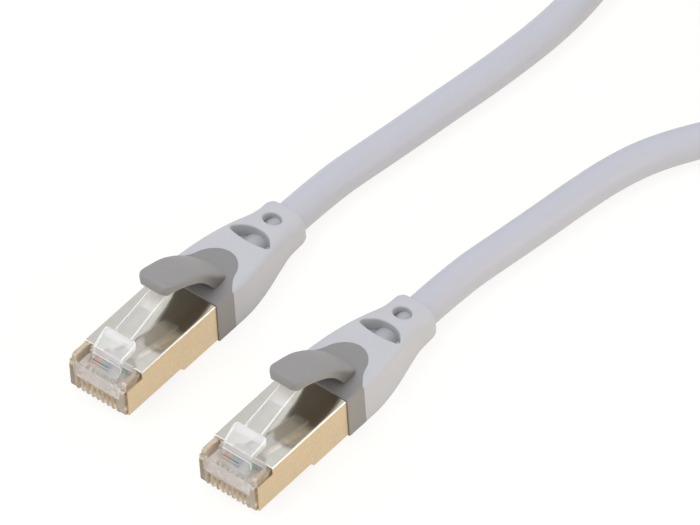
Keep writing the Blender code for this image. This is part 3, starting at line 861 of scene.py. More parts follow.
def prism(
    outline: Outline, low: float, high: float, axis: Axis = Axis.Y
) -> Mesh:
    """An outline pushed along an axis: (x, z) for Y, (x, y) for Z and (y, z) for X."""
    return loft([[axis.lift(a, b, t) for a, b in outline] for t in (low, high)])


def box(x: Point2, y: Point2, z: Point2) -> Mesh:
    """A block from three (low, high) pairs."""
    return prism([(x[0], z[0]), (x[1], z[0]), (x[1], z[1]), (x[0], z[1])], y[0], y[1])


def arc(centre: Point2, radius: float, start: float, end: float, steps: int) -> list[Point2]:
    """Points along an arc, angles in degrees."""
    angles = [math.radians(start + (end - start) * i / steps) for i in range(steps + 1)]
    return [(centre[0] + radius * math.cos(a), centre[1] + radius * math.sin(a)) for a in angles]


def circle(centre: Point2, radius: float, sides: int) -> list[Point2]:
    """Points round a circle, the first one at its +x side."""
    return arc(centre, radius, 0, 360, sides)[:-1]


def rounded(
    half: float, bottom: float, top: float, low: float, high: float, steps: int
) -> list[Point2]:
    """A rectangle with round corners, from its lower right corner.

    Args:
        half: Half of its width.
        bottom: Height of its lower side.
        top: Height of its upper side.
        low: Radius of the lower corners.
        high: Radius of the upper corners.
        steps: Steps of each corner's arc.

    Returns:
        Its (across, up) points.
    """
    corners = (
        (half - low, bottom + low, low, -90),
        (half - high, top - high, high, 0),
        (high - half, top - high, high, 90),
        (low - half, bottom + low, low, 180),
    )
    return [p for a, b, r, start in corners for p in arc((a, b), r, start, start + 90, steps)]


def linked(name: str, data: bpy.types.ID) -> bpy.types.Object:
    """A new object in the scene.

    Args:
        name: Its name.
        data: Its mesh, curve, camera or lamp.

    Returns:
        The object.
    """
    made = bpy.data.objects.new(name, data)
    bpy.context.scene.collection.objects.link(made)
    return made


def taken(work: bpy.types.Object) -> Mesh:
    """The mesh of an object that is only there to make it, and is then removed.

    Args:
        work: The object, with its modifiers.

    Returns:
        The mesh.
    """
    depsgraph = bpy.context.evaluated_depsgraph_get()
    made = bpy.data.meshes.new_from_object(work.evaluated_get(depsgraph))
    bpy.data.objects.remove(work)
    return made


def combined(operation: str, base: Mesh, *tools: Mesh) -> Mesh:
    """A mesh after Boolean steps with others.

    Args:
        operation: DIFFERENCE, UNION or INTERSECT.
        base: The mesh that is worked on.
        tools: The other meshes, used one after another.

    Returns:
        A new mesh.
    """
    for tool in tools:
        work, cutter = linked("work", base), linked("cutter", tool)
        step = work.modifiers.new("step", "BOOLEAN")
        step.operation = operation
        step.solver = "EXACT"
        step.object = cutter
        base = taken(work)
        bpy.data.objects.remove(cutter)
    return base


cut = partial(combined, "DIFFERENCE")
joined = partial(combined, "UNION")
common = partial(combined, "INTERSECT")


def grown(outline: Outline, distance: float) -> list[Point2]:
    """Points a distance outside a convex outline, with round corners.

    Args:
        outline: The outline's points, either way round.
        distance: How far outside it they lie.

    Returns:
        The new outline, the same way round.
    """
    area = sum(a[0] * b[1] - b[0] * a[1] for a, b in zip(outline, [*outline[1:], outline[0]]))
    side = 1.0 if area > 0 else -1.0
    points = []
    for i, (x, y) in enumerate(outline):
        before, after = outline[i - 1], outline[(i + 1) % len(outline)]
        start = math.atan2(side * (before[0] - x), side * (y - before[1]))
        end = math.atan2(side * (x - after[0]), side * (after[1] - y))
        turn = math.remainder(end - start, FULL_TURN)
        steps = round(abs(turn) / CORNER_STEP)
        shares = [j / steps for j in range(steps + 1)] if steps else [0.5]
        angles = [start + turn * share for share in shares]
        points += [(x + distance * math.cos(a), y + distance * math.sin(a)) for a in angles]
    return points


def bevelled(
    mesh: Mesh, width: float, wanted: Callable[[Vector, Vector], bool], steps: int = 2
) -> Mesh:
    """Rounds the sharp edges that a rule picks.

    Args:
        mesh: The mesh, which is changed.
        width: Width of the rounding in millimetres.
        wanted: Says of an edge, from its two ends in millimetres, if it is rounded.
        steps: Steps across the rounding.

    Returns:
        The same mesh.
    """
    work = bmesh.new()
    work.from_mesh(mesh)
    bmesh.ops.remove_doubles(work, verts=work.verts, dist=MERGED * MM)
    bmesh.ops.dissolve_limit(work, angle_limit=FLAT_EDGE, verts=work.verts, edges=work.edges)
    sharp = [
        e
        for e in work.edges
        if len(e.link_faces) == 2
        and e.calc_face_angle(0.0) > SHARP_EDGE
        and wanted(e.verts[0].co / MM, e.verts[1].co / MM)
    ]
    bmesh.ops.bevel(
        work, geom=sharp, offset=width * MM, offset_type="OFFSET", segments=steps, profile=0.5,
        affect="EDGES", clamp_overlap=True,
    )  # fmt: skip
    work.to_mesh(mesh)
    work.free()
    return mesh


@dataclass(frozen=True)
class Zone:
    """A block of space; aside is counted from the middle line to both sides."""

    x: Point2 = (-FAR, FAR)
    aside: Point2 = (-FAR, FAR)
    z: Point2 = (-FAR, FAR)

    def holds(self, x: float, y: float, z: float) -> bool:
        """True for a place inside it."""
        spans = (self.x, self.aside, self.z)
        return all(low < value < high for value, (low, high) in zip((x, abs(y), z), spans))


def with_finishes(mesh: Mesh, pick: Callable[[bpy.types.MeshPolygon], Finish]) -> Mesh:
    """Gives each face the finish that a rule picks.

    Args:
        mesh: The mesh, which is changed.
        pick: Says which finish a face has.

    Returns:
        The same mesh.
    """
    mesh.materials.clear()
    finishes: list[Finish] = []
    for face in mesh.polygons:
        finish = pick(face)
        if finish not in finishes:
            finishes.append(finish)
            mesh.materials.append(finish.material())
        face.material_index = finishes.index(finish)
    return mesh


def line_curve(points: Route, radius: float, sides_step: int) -> bpy.types.Curve:
    """A round tube along points, as a curve with closed ends.

    Args:
        points: Its middle line.
        radius: Its radius.
        sides_step: Steps round a quarter of it.

    Returns:
        The curve.
    """
    data = bpy.data.curves.new("line", "CURVE")
    data.dimensions = "3D"
    data.bevel_depth = radius * MM
    data.bevel_resolution = sides_step
    data.use_fill_caps = True
    spline = data.splines.new("POLY")
    spline.points.add(len(points) - 1)
    for place, point in zip(spline.points, points):
        place.co = (*(Vector(point) * MM), 1.0)
    spline.use_smooth = True
    return data


def tube(points: Route, radius: float, sides_step: int = 8) -> Mesh:
    """A round tube along points, as a mesh."""
    return taken(linked("tube", line_curve(points, radius, sides_step)))


def eased(t: float) -> float:
    """0 to 1 with level ends."""
    t = min(1.0, max(0.0, t))
    return t * t * (3 - 2 * t)


def on_curve(four: Sequence[Vector], t: float) -> Vector:
    """A point, or a value, on the smooth curve through four of them.

    Args:
        four: The points or values, with the stretch between the second and the third.
        t: The share of the stretch, from 0 to 1.

    Returns:
        The point or the value.
    """
    before, start, end, after = four
    linear = (end - before) * t
    square = (2 * before - 5 * start + 4 * end - after) * t**2
    cube = (3 * start - before - 3 * end + after) * t**3
    return 0.5 * (2 * start + linear + square + cube)


def smooth_line(route: Route, step: float) -> list[Vector]:
    """Points about a step apart on the smooth curve through a route's points.

    Args:
        route: The points that it goes through.
        step: The distance between the points it gives.

    Returns:
        The points, with the route's two ends.
    """
    places = [Vector(p) for p in route]
    ends = [2 * places[0] - places[1], *places, 2 * places[-1] - places[-2]]
    points = []
    for four in zip(ends, ends[1:], ends[2:], ends[3:]):
        pieces = max(1, round((four[2] - four[1]).length / step))
        points += [on_curve(four, i / pieces) for i in range(pieces)]
    return [*points, places[-1]]


def row_at(rows: Rows, x: float) -> list[float]:
    """The values of a table at a place, each on a smooth curve through the table's values.

    Args:
        rows: Rows of x and its values, in order of x.
        x: The place.

    Returns:
        The values.
    """
    k = max(i for i in range(len(rows) - 1) if i == 0 or rows[i][0] <= x)
    four = (rows[max(0, k - 1)], rows[k], rows[k + 1], rows[min(len(rows) - 1, k + 2)])
    places, *columns = zip(*four)
    run = places[2] - places[1]
    t = min(1.0, max(0.0, (x - places[1]) / run))
    values = []
    for before, start, end, after in columns:
        leave = (end - before) / (places[2] - places[0]) * run
        arrive = (after - start) / (places[3] - places[1]) * run
        values.append(
            start * (1 + 2 * t) * (1 - t) ** 2
            + leave * t * (1 - t) ** 2
            + end * t * t * (3 - 2 * t)
            + arrive * t * t * (t - 1)
        )
    return values


def cable_height(x: float) -> float:
    """Height of the cable's middle line inside an end."""
    share = eased((x - CABLE_DROP[0]) / (CABLE_DROP[1] - CABLE_DROP[0]))
    return CABLE_PLUG_HEIGHT + (CABLE_EXIT_HEIGHT - CABLE_PLUG_HEIGHT) * share


def cable_line(start: float, end: float, pieces: int) -> list[Point3]:
    """The cable's middle line inside an end, from one x to another."""
    stations = [start + (end - start) * i / pieces for i in range(pieces + 1)]
    return [(x, 0.0, cable_height(x)) for x in stations]


def way_places() -> list[float]:
    """The middle of each contact, across the plug."""
    return [((WAYS - 1) / 2 - i) * WAY_PITCH for i in range(WAYS)]


# ---- adding pieces
@dataclass
class Bench:
    """Puts finished pieces into the scene."""

    made: list[bpy.types.Object] = field(default_factory=list)

    def add(
        self,
        name: str,
        data: Mesh | bpy.types.Curve,
        finish: Finish,
        body: str,
        replaced: Sequence[str],
        place: Point2 = (0.0, 0.0),
    ) -> bpy.types.Object:
        """Adds a piece that stands for CAD nodes.

        Args:
            name: The piece's name.
            data: Its mesh or curve, in its end's frame.
            finish: Its finish.
            body: The body it moves with.
            replaced: The CAD nodes it stands for.
            place: Where its frame lies, in millimetres.

        Returns:
            The new object.
        """
        piece = linked(name, data)
        if not data.materials or data.materials[0] is None:
            data.materials.clear()
            data.materials.append(finish.material())
        if isinstance(data, Mesh):
            data.shade_smooth()
            data.set_sharp_from_angle(angle=CRISP_EDGE)
        piece.location = (place[0] * MM, place[1] * MM, 0.0)
        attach(piece, body)
        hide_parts(*replaced)
        self.made.append(piece)
        LOG.info("%s rides on %s and stands for %s", name, body, ", ".join(replaced))
        return piece


def dress_node(node: bpy.types.Object, finish: Finish) -> None:
    """Gives a CAD node that stays a finish.

    Args:
        node: The node.
        finish: Its finish.
    """
    for slot in node.material_slots:
        slot.material = finish.material()
    LOG.info("%s stays and is dressed in %s", node.name, finish.slot)


# ---- plug
@dataclass
class Housing:
    """Clear body of a plug: contact slots, wire channel, hollow back, two top pockets."""

    half: float = 5.5
    bottom: float = 1.35
    nose_top: float = 6.5
    top: float = 7.5
    nose_radius: float = 0.6
    nose_steps: int = 8
    lip_back: float = 0.7
    lip_overlap: float = 0.1
    lip_bevel: Outline = ((0.25, 6.5), (0.0, 6.25))
    # what is taken off the lip's front, which leans back between the two cheeks
    lip_lean: Outline = ((0.0, 4.4), (0.45, 6.3), (0.45, 9.0), (-1.0, 9.0), (-1.0, 4.4))
    # the underside's step over the screen's step, and the back
    heel: Outline = (
        (12.2, 1.35), (12.2, 1.75), (12.95, 1.75), (14.0, 0.6), (17.2, 0.6), (17.2, 7.5),
    )  # fmt: skip
    shoulder: Point2 = (3.85, 7.8)
    shoulder_front: float = 1.0
    shoulder_inner: float = 4.65
    seat_gap: float = 0.4
    root_seat: float = 2.95
    pocket: Point3 = (0.9, 3.85, 5.8)  # front, back and floor
    edge: float = 0.07
    edge_end: float = 11.0
    slot_width: float = 0.46
    slot_back: float = 6.4
    slot_top: float = 4.05
    # hollows: from and to along, half width, from and to in height
    channel: tuple[Point2, float, Point2] = ((2.6, 12.3), 4.35, (3.9, 5.55))
    comb_seat: tuple[Point2, float, Point2] = ((6.75, 12.3), 4.35, (3.15, 4.5))
    hollow: tuple[Point2, float, Point2] = ((12.1, 18.0), 4.8, (2.1, 6.9))
    rib_radius: float = 0.28
    rib_route: Outline = ((0.16, 4.2), (0.13, 1.85), (0.24, 1.62), (0.5, 1.5), (1.6, 1.5))
    bead: Point3 = (0.03, 4.5, 0.13)  # its x, its height and its radius
    bead_half: float = 4.4
    zones: tuple[tuple[Finish, Zone], ...] = (
        (LIP, Zone(x=(-FAR, 1.3), z=(4.55, FAR))),
        (RIBS, Zone(x=(-FAR, 0.75))),
        (SILL, Zone(x=(4.1, 4.4), aside=(-FAR, 4.65), z=(6.4, FAR))),
        (OVER_WIRES, Zone(x=(0.7, 4.3), aside=(-FAR, 2.95), z=(6.45, 6.55))),
        (POCKETS_PAINTED_SHADE, Zone(x=(0.8, 4.0), aside=(2.9, 4.7), z=(5.75, 6.5))),
    )

    def block(self) -> Mesh:
        """The body with its lip, shoulders and pockets, before the comb is cut.

        Returns:
            The mesh.
        """
        back, top = self.shoulder
        radius, inner = self.nose_radius, self.shoulder_inner
        outline = [
            *arc((radius, self.bottom + radius), radius, 180, 270, self.nose_steps), *self.heel,
            (back, self.top), (back, top), (self.shoulder_front, top), (self.lip_back, self.top),
            (self.lip_back, self.nose_top), *self.lip_bevel,
        ]  # fmt: skip
        front, end, floor = self.pocket
        seat = (self.lip_back - self.lip_overlap, back + self.seat_gap)
        made = cut(
            prism(outline, -self.half, self.half),
            box(seat, (-inner, inner), (self.nose_top, top + 1)),
            prism(self.lip_lean, -inner, inner),
            box((front, end), (self.root_seat, inner), (floor, top + 1)),
            box((front, end), (-inner, -self.root_seat), (floor, top + 1)),
        )
        return bevelled(made, self.edge, lambda a, b: min(a.x, b.x) < self.edge_end)

    def mesh(self) -> Mesh:
        """The whole body with its ribs and hollows, dressed by zones.

        Returns:
            The mesh.
        """
        bead_x, bead_z, bead_radius = self.bead
        rib_places = ((WAYS / 2 - i) * WAY_PITCH for i in range(WAYS + 1))
        routes = [[(x, y, z) for x, z in self.rib_route] for y in rib_places]
        ribs = [tube(route, self.rib_radius, 3) for route in routes]
        bead_ends = [(bead_x, y, bead_z) for y in (-self.bead_half, self.bead_half)]
        bead = tube(bead_ends, bead_radius, 3)
        half_slot = self.slot_width / 2
        slots = [
            box((-1.0, self.slot_back), (y - half_slot, y + half_slot), (0.0, self.slot_top))
            for y in way_places()
        ]
        hollows = [
            box(along, (-half, half), height)
            for along, half, height in (self.channel, self.comb_seat, self.hollow)
        ]
        made = cut(joined(self.block(), *ribs, bead), *slots, *hollows)

        def zoned(face: bpy.types.MeshPolygon) -> Finish:
            """The finish of the first zone that holds a face."""
            place = face.center / MM
            return next((finish for finish, zone in self.zones if zone.holds(*place)), CLEAR)

        return with_finishes(made, zoned)


@dataclass
class Contacts:
    """Eight stamped blades, each with two tines."""

    thickness: float = 0.36
    front: float = 0.45
    back: float = 6.1
    bottom: float = 1.8
    nose: float = 0.5
    nose_steps: int = 6
    shoulder: float = 3.3
    head: Point2 = (1.0, 3.95)
    tine: float = 4.4
    tine_half: float = 0.25
    tines: Point2 = (3.7, 5.1)
    edge: float = 0.04

    def mesh(self) -> Mesh:
        """One blade, in the plane y = 0, with a round lower front corner.

        Returns:
            The mesh.
        """
        nose = self.nose
        outline = [
            *arc((self.front + nose, self.bottom + nose), nose, 180, 270, self.nose_steps),
            (self.back, self.bottom), (self.back, self.shoulder),
        ]  # fmt: skip
        for x in reversed(self.tines):
            outline += [(x + self.tine_half, self.shoulder), (x, self.tine)]
            outline += [(x - self.tine_half, self.shoulder)]
        head_x, head_z = self.head
        outline += [(head_x, self.shoulder), self.head, (self.front, head_z)]
        blade = prism(outline, -self.thickness / 2, self.thickness / 2)
        return bevelled(blade, self.edge, lambda a, b: abs(a.y - b.y) < SAME)


@dataclass
class Wiring:
    """Eight conductors: a flat row over the contacts, then two rows of four into the cable."""

    radius: float = 0.45
    start: float = 3.0
    end: float = 17.3
    row_height: float = 5.0
    drop: Point2 = (11.0, 13.4)  # where they leave the flat row and reach their own height
    gather: Point2 = (14.2, 16.6)  # where they draw together
    column_pitch: float = 1.1
    rise: float = 0.55
    step: float = 0.5
    round_steps: int = 5

    def curve(self, i: int) -> bpy.types.Curve:
        """One conductor.

        Args:
            i: Its way, from 0.

        Returns:
            The curve.
        """
        y = way_places()[i]
        column = ((WAYS / 2 - 1) / 2 - i // 2) * self.column_pitch
        height = CABLE_PLUG_HEIGHT + (self.rise if i % 2 == 0 else -self.rise)
        route = [
            (self.start, y, self.row_height), (self.drop[0], y, self.row_height),
            (self.drop[1], y, height), (self.gather[0], y, height),
            (self.gather[1], column, height), (self.end, column, height),
        ]  # fmt: skip
        return line_curve(smooth_line(route, self.step), self.radius, self.round_steps)


@dataclass
class Latch:
    """Clear latch in one moulding: sloping root, wide base with two shoulders, ribbed lever."""

    # x, bottom, top, half width, depth of the channel between the rims
    stations: Rows = (
        (1.20, 6.80, 6.88, 2.80, 0.0),
        (1.90, 6.80, 7.54, 2.80, 0.0),
        (2.58, 6.80, 8.24, 2.80, 0.0),
        (2.66, 6.80, 8.45, 2.80, 0.0),
        (2.80, 6.80, 9.10, 2.82, 0.0),
        (2.92, 7.50, 9.24, 2.83, 0.0),
        (3.00, 8.30, 9.33, 2.84, 0.0),
        (3.20, 8.50, 9.56, 2.85, 0.0),
        (3.45, 8.62, 9.66, 2.87, 0.0),
        (3.75, 8.75, 9.77, 2.91, 0.0),
        (4.60, 9.07, 10.09, 3.03, 0.0),
        (5.60, 9.46, 10.45, 3.15, 0.0),
        (6.05, 9.64, 10.62, 3.15, 0.0),
        (6.35, 9.76, 10.73, 3.00, 0.0),
        (6.50, 9.82, 10.75, 2.72, 0.0),
        (6.56, 9.72, 10.66, 2.30, 0.0),
        (6.62, 9.42, 10.47, 1.78, 0.0),
        (7.10, 9.57, 10.58, 1.75, 0.0),
        (7.40, 9.66, 10.66, 1.75, 0.22),
        (8.00, 9.83, 10.80, 1.74, 0.26),
        (10.00, 10.47, 11.33, 1.68, 0.26),
        (12.50, 11.25, 12.01, 1.60, 0.24),
        (14.90, 11.96, 12.65, 1.58, 0.20),
        (16.60, 12.46, 13.04, 1.56, 0.14),
        (16.90, 12.54, 13.11, 1.56, 0.0),
        (17.60, 12.75, 13.27, 1.55, 0.0),
        (18.10, 12.93, 13.38, 1.52, 0.0),
        (18.24, 13.02, 13.30, 1.46, 0.0),
    )
    corner: float = 0.11
    corner_share: float = 0.45  # most that a corner takes of a thin end's thickness
    rim: float = 0.27
    rim_foot: Point2 = (0.04, 0.10)  # how far the rim's inner wall leans, halfway down and below
    arc_steps: int = 3
    # stretches of x with a painted highlight all the way across: front bend, back of the ears, tip
    painted_highlight: tuple[Point2, ...] = ((2.60, 2.65), (6.50, 6.62), (18.1, 18.3))
    ramp_end: float = 2.95
    # the tail's and the undersides' finishes carry painted light
    # where each stretch starts, its finish above and its finish below
    stretches: tuple[tuple[float, Finish, Finish], ...] = (
        (-FAR, LATCH_RAMP, LATCH_RAMP),
        (ramp_end, LATCH_CLEAR, LATCH_CLEAR),
        (5.2, LATCH_EARS, LATCH_EARS),
        (6.62, LATCH_LEVER, LATCH_UNDER_PAINTED_LIGHT),
        (12.0, LATCH_LEVER, LATCH_UNDER_TAIL_PAINTED_LIGHT),
        (16.6, LATCH_TAIL_PAINTED_LIGHT, LATCH_TAIL_PAINTED_LIGHT),
    )

    def ring(self, bottom: float, top: float, half: float, depth: float) -> list[Point2]:
        """The latch's section at one place, with its rims and channel.

        Args:
            bottom: Height of its underside.
            top: Height of its rims.
            half: Half of its width.
            depth: Depth of the channel between the rims.

        Returns:
            Its (across, up) points, from the lower right corner.
        """
        corner = min(self.corner, (top - bottom) * self.corner_share)
        lower = arc((half - corner, bottom + corner), corner, -90, 0, self.arc_steps)
        upper = arc((half - corner, top - corner), corner, 0, 90, self.arc_steps)
        inner, floor = half - self.rim, top - depth
        halfway, below = self.rim_foot
        channel = [(inner, top), (inner - halfway, top - depth / 2), (inner - below, floor)]
        right = [*lower, *upper, *channel, (inner / 2, floor)]
        return [*right, (0.0, floor), *[(-y, z) for y, z in reversed(right)]]

    def mesh(self) -> Mesh:
        """The latch, with painted highlights along its corners and rims.

        Returns:
            The mesh.
        """
        made = loft([[(s[0], y, z) for y, z in self.ring(*s[1:])] for s in self.stations])
        count = len(self.ring(*self.stations[0][1:]))
        corners = [*range(self.arc_steps), *range(self.arc_steps + 1, 2 * self.arc_steps + 2)]
        edges = {*corners, *[count - 2 - i for i in corners]}

        def dressed(face: bpy.types.MeshPolygon) -> Finish:
            """The finish of a face by its stretch, where it has no painted highlight.

            Args:
                face: The face.

            Returns:
                Its finish.
            """
            x = face.center.x / MM
            ring_place = (face.index - END_FACES) % count
            below = ring_place == count - 1
            across = any(low < x < high for low, high in self.painted_highlight) and not below
            painted_highlight = across or (x > self.ramp_end and ring_place in edges)
            if face.index >= END_FACES and painted_highlight:
                return LATCH_EDGE_HIGHLIGHT
            return [row[1 + below] for row in self.stretches if row[0] < x][-1]

        return with_finishes(made, dressed)


@dataclass
class ScreenShell:
    """Folded sheet-metal screen: two sides, a top plate and a floor behind the step."""

    width: float = 11.7
    sheet: float = 0.25
    bottom: float = 0.25
    top: float = 7.85
    side_front: float = 0.55
    top_front: float = 4.16
    back: float = 23.8
    nose_bottom: float = 1.35
    nose_top: float = 6.5
    step_start: float = 12.7
    step_run: float = 1.07
    floor_lip: float = 0.35
    floor_slant: float = 0.12
    fold: float = 0.3
    fold_steps: int = 5

    def mesh(self) -> Mesh:
        """The sheet, with its folds rounded.

        Returns:
            The mesh.
        """
        half, sheet = self.width / 2, self.sheet
        step_end = self.step_start + self.step_run
        outside = [
            (self.side_front, self.nose_bottom), (self.step_start, self.nose_bottom),
            (step_end, self.bottom), (self.back, self.bottom), (self.back, self.top),
            (self.top_front, self.top), (self.top_front, self.nose_top),
            (self.side_front, self.nose_top),
        ]  # fmt: skip
        front, slant = self.step_start - self.floor_lip, self.floor_slant
        inside = [
            (-1.0, -1.0), (front, -1.0), (front, self.nose_bottom + sheet),
            (self.step_start + slant, self.nose_bottom + sheet),
            (step_end + slant, self.bottom + sheet), (self.back + 1, self.bottom + sheet),
            (self.back + 1, self.top - sheet), (-1.0, self.top - sheet),
        ]  # fmt: skip

        def on_fold(a: Vector, b: Vector) -> bool:
            """True for the two long folds of the top and the two of the floor."""
            along_side = max(abs(a.z - b.z), abs(a.y - b.y), abs(abs(a.y) - half)) < SAME
            return along_side and not self.bottom + SAME <= a.z <= self.top - SAME

        solid = bevelled(prism(outside, -half, half), self.fold, on_fold, self.fold_steps)
        return cut(solid, prism(inside, sheet - half, half - sheet))


# ---- boots and guard
@dataclass
class Boots:
    """The two mouldings behind a plug: dark collar with its field, light sleeve with windows."""

    # x, half width, bottom, top, bottom corner radius, top corner radius
    stations: Rows = (
        (21.7, 6.10, 0.00, 8.10, 0.25, 0.30),
        (25.9, 6.13, 0.00, 8.05, 0.30, 0.80),
        (28.8, 6.13, 0.00, 7.95, 0.40, 1.30),
        (31.9, 5.77, 0.00, 7.78, 0.50, 1.30),
        (35.0, 5.20, 0.00, 7.60, 0.80, 1.30),
        (38.0, 4.56, 0.00, 7.30, 1.30, 1.40),
        (41.1, 4.00, 0.00, 6.85, 1.90, 1.80),
        (43.2, 3.95, 0.00, 6.65, 2.20, 2.20),
        (44.8, 3.92, 0.00, 6.60, 2.30, 2.20),
        (45.3, 3.70, 0.10, 6.45, 2.20, 2.20),
    )
    step: float = 0.6
    corner_steps: int = 8
    front_edge: float = 0.09
    front_turns: Point3 = (90.0, 60.0, 30.0)  # degrees at the rings of the front edge
    # a block that holds every boot up to a colour line: where it starts, half width, height
    before: float = 20.0
    around: tuple[Point2, Point2] = ((-8.0, 8.0), (-2.0, 10.0))
    colour_line: float = 25.55
    seam: float = 0.02
    field_bottom: float = 6.4
    field_plan: Outline = (
        (24.6, 6.6), (26.1, 5.4), (27.2, 4.55), (28.3, 4.0), (29.4, 3.6), (30.4, 2.95), (31.2, 2.1),
        (31.75, 1.1), (31.95, 0.0),
    )  # fmt: skip
    # radius, front and back of the dark core inside the sleeve
    core: Point3 = (3.55, 24.5, 34.0)
    core_pieces: int = 8
    field_step: float = 0.3
    # back, half width, bottom and top of the opening for the screen
    socket: tuple[float, float, float, float] = (24.1, 5.88, 0.2, 7.89)
    bore_gap: float = 0.15
    cable_gap: float = 0.02
    window_floor: float = 4.7
    # front at the middle, the two tips, back at the middle, half width
    lens: tuple[float, float, float, float] = (35.5, 36.4, 38.65, 3.88)
    lens_corner: float = 0.5
    lens_aside: float = -0.2
    lens_steps: int = 28
    lens_bow: float = 2.6  # how squarely the back edge bows; 2 is a parabola
    # middle, half length and half width
    round_window: Point3 = (41.9, 1.28, 1.62)
    round_sides: int = 40
    # each window's mouth: how far out a ring lies and how far down
    mouth: tuple[Point2, ...] = (
        (0.0, 0.34), (0.03, 0.2), (0.09, 0.09), (0.19, 0.02), (0.32, -0.03),
    )  # fmt: skip
    # stretch and half width that holds the windows, and how deep under the top their walls start
    windows: tuple[Point2, float, float] = ((34.9, 43.6), 4.3, 0.28)
    # the cable is gripped: x where it is thinnest and where it is full again, and how much thinner
    waist: Point3 = (43.3, 45.1, 0.35)
    sink: float = 0.12
    cable_step: float = 0.45
    cable_sides: int = 48

    def section(self, x: float, inset: float = 0.0) -> list[Point3]:
        """The boots' outline at one place.

        Args:
            x: The place.
            inset: How far it is drawn in.

        Returns:
            Its points.
        """
        half, bottom, top, low, high = row_at(self.stations, x)
        ring = rounded(half - inset, bottom + inset, top - inset, low, high, self.corner_steps)
        return [(x, y, z) for y, z in ring]

    def form(self) -> Mesh:
        """The outer form of both boots together, with a soft edge in front.

        Returns:
            The mesh.
        """
        start, end = self.stations[0][0], self.stations[-1][0]
        edge = self.front_edge
        count = round((end - start) / self.step)
        rings = [
            self.section(start + edge * (1 - math.sin(t)), edge * (1 - math.cos(t)))
            for t in map(math.radians, self.front_turns)
        ]
        places = [start + edge + (end - start - edge) * i / count for i in range(count + 1)]
        return loft([*rings, *[self.section(x) for x in places]])

    def top_at(self, x: float, y: float) -> float:
        """Height of the boots' upper surface.

        Args:
            x: The place along them.
            y: The place across them.

        Returns:
            The height.
        """
        half, _, top, _, radius = row_at(self.stations, x)
        aside = abs(y) - (half - radius)
        if aside <= 0:
            return top
        return top - radius + math.sqrt(max(0.0, radius**2 - min(aside, radius) ** 2))

    def before_line(self, gap: float) -> Mesh:
        """A block that holds all that is dark on the sides, grown by a gap."""
        return box((self.before, self.colour_line + gap), *self.around)

    def field_prism(self, grow: float) -> Mesh:
        """The dark field on top of the boot, seen from above.

        Args:
            grow: How much larger it is.

        Returns:
            The mesh.
        """
        edge = smooth_line([(x, y, 0.0) for x, y in self.field_plan], self.field_step)[:-1]
        right = [(p.x, p.y + grow) for p in edge]
        left = [(x, -y) for x, y in reversed(right)]
        outline = [*right, (self.field_plan[-1][0] + grow, 0.0), *left]
        return prism(outline, self.field_bottom - grow, self.around[1][1], Axis.Z)

    def bore(self, start: float, end: float, radius: float) -> Mesh:
        """A round bar along the cable's line."""
        return tube(cable_line(start, end, self.core_pieces), radius)

    def inner_mesh(self) -> Mesh:
        """Dark collar behind the shell, with its field and the core inside the sleeve.

        Returns:
            The mesh.
        """
        radius, start, end = self.core
        back, half, bottom, top = self.socket
        solid = common(self.form(), joined(self.before_line(0.0), self.field_prism(0.0)))
        return cut(
            joined(solid, self.bore(start, end, radius)),
            box((self.before, back), (-half, half), (bottom, top)),
            self.bore(back - 1, end + 2, CABLE_RADIUS + self.bore_gap),
        )

    def cable_mesh(self, start: float, end: float, grow: float = 0.0) -> Mesh:
        """The cable inside the boots, or with growth the bore for it.

        Args:
            start: Where it begins.
            end: Where it ends.
            grow: How much wider than the cable it is.

        Returns:
            The mesh.
        """
        thin_end, full_start, drawn_in = self.waist
        rings = []
        count = round((end - start) / self.cable_step)
        for i in range(count + 1):
            x = start + (end - start) * i / count
            grip = 1 - eased((x - thin_end) / (full_start - thin_end))
            radius = CABLE_RADIUS - drawn_in * grip + grow
            height = cable_height(x) - self.sink * grip
            rings.append([(x, y, z) for y, z in circle((0.0, height), radius, self.cable_sides)])
        return loft(rings)

    def lens_outline(self) -> list[Point2]:
        """Window with a nearly straight front edge and a bowed back edge.

        Returns:
            Its points, seen from above.
        """
        front, tips, back, half = self.lens
        radius, steps = self.lens_corner, self.lens_steps
        front, back, half = front + radius, back - radius, half - radius
        across = [half * (1 - 2 * i / steps) for i in range(steps + 1)]
        ahead = [(front + (tips - front) * (y / half) ** 2, y) for y in across]
        bows = [(y, abs(y / half) ** self.lens_bow) for y in reversed(across[1:-1])]
        behind = [(back - (back - tips) * bow, y) for y, bow in bows]
        return [(x, y + self.lens_aside) for x, y in grown([*ahead, *behind], radius)]

    def flared(self, outline: Outline) -> Mesh:
        """A window's cutter, whose mouth opens softly at the boots' upper surface.

        Args:
            outline: The window seen from above, anticlockwise or clockwise.

        Returns:
            The cutter.
        """
        count = len(outline)
        centre = (sum(x for x, _ in outline) / count, sum(y for _, y in outline) / count)
        ways = []
        for i, (x, y) in enumerate(outline):
            before, after = outline[i - 1], outline[(i + 1) % count]
            normal = Vector((after[1] - before[1], before[0] - after[0])).normalized()
            if normal.dot(Vector((x - centre[0], y - centre[1]))) < 0:
                normal = -normal
            ways.append(normal)
        rings = [[(x, y, self.window_floor) for x, y in outline]]
        for out, down in self.mouth:
            moved = [(x + out * n.x, y + out * n.y) for (x, y), n in zip(outline, ways)]
            rings.append([(x, y, self.top_at(x, y) - down) for x, y in moved])
        rings.append([(x, y, self.around[1][1]) for x, y, _ in rings[-1]])
        return loft(rings)

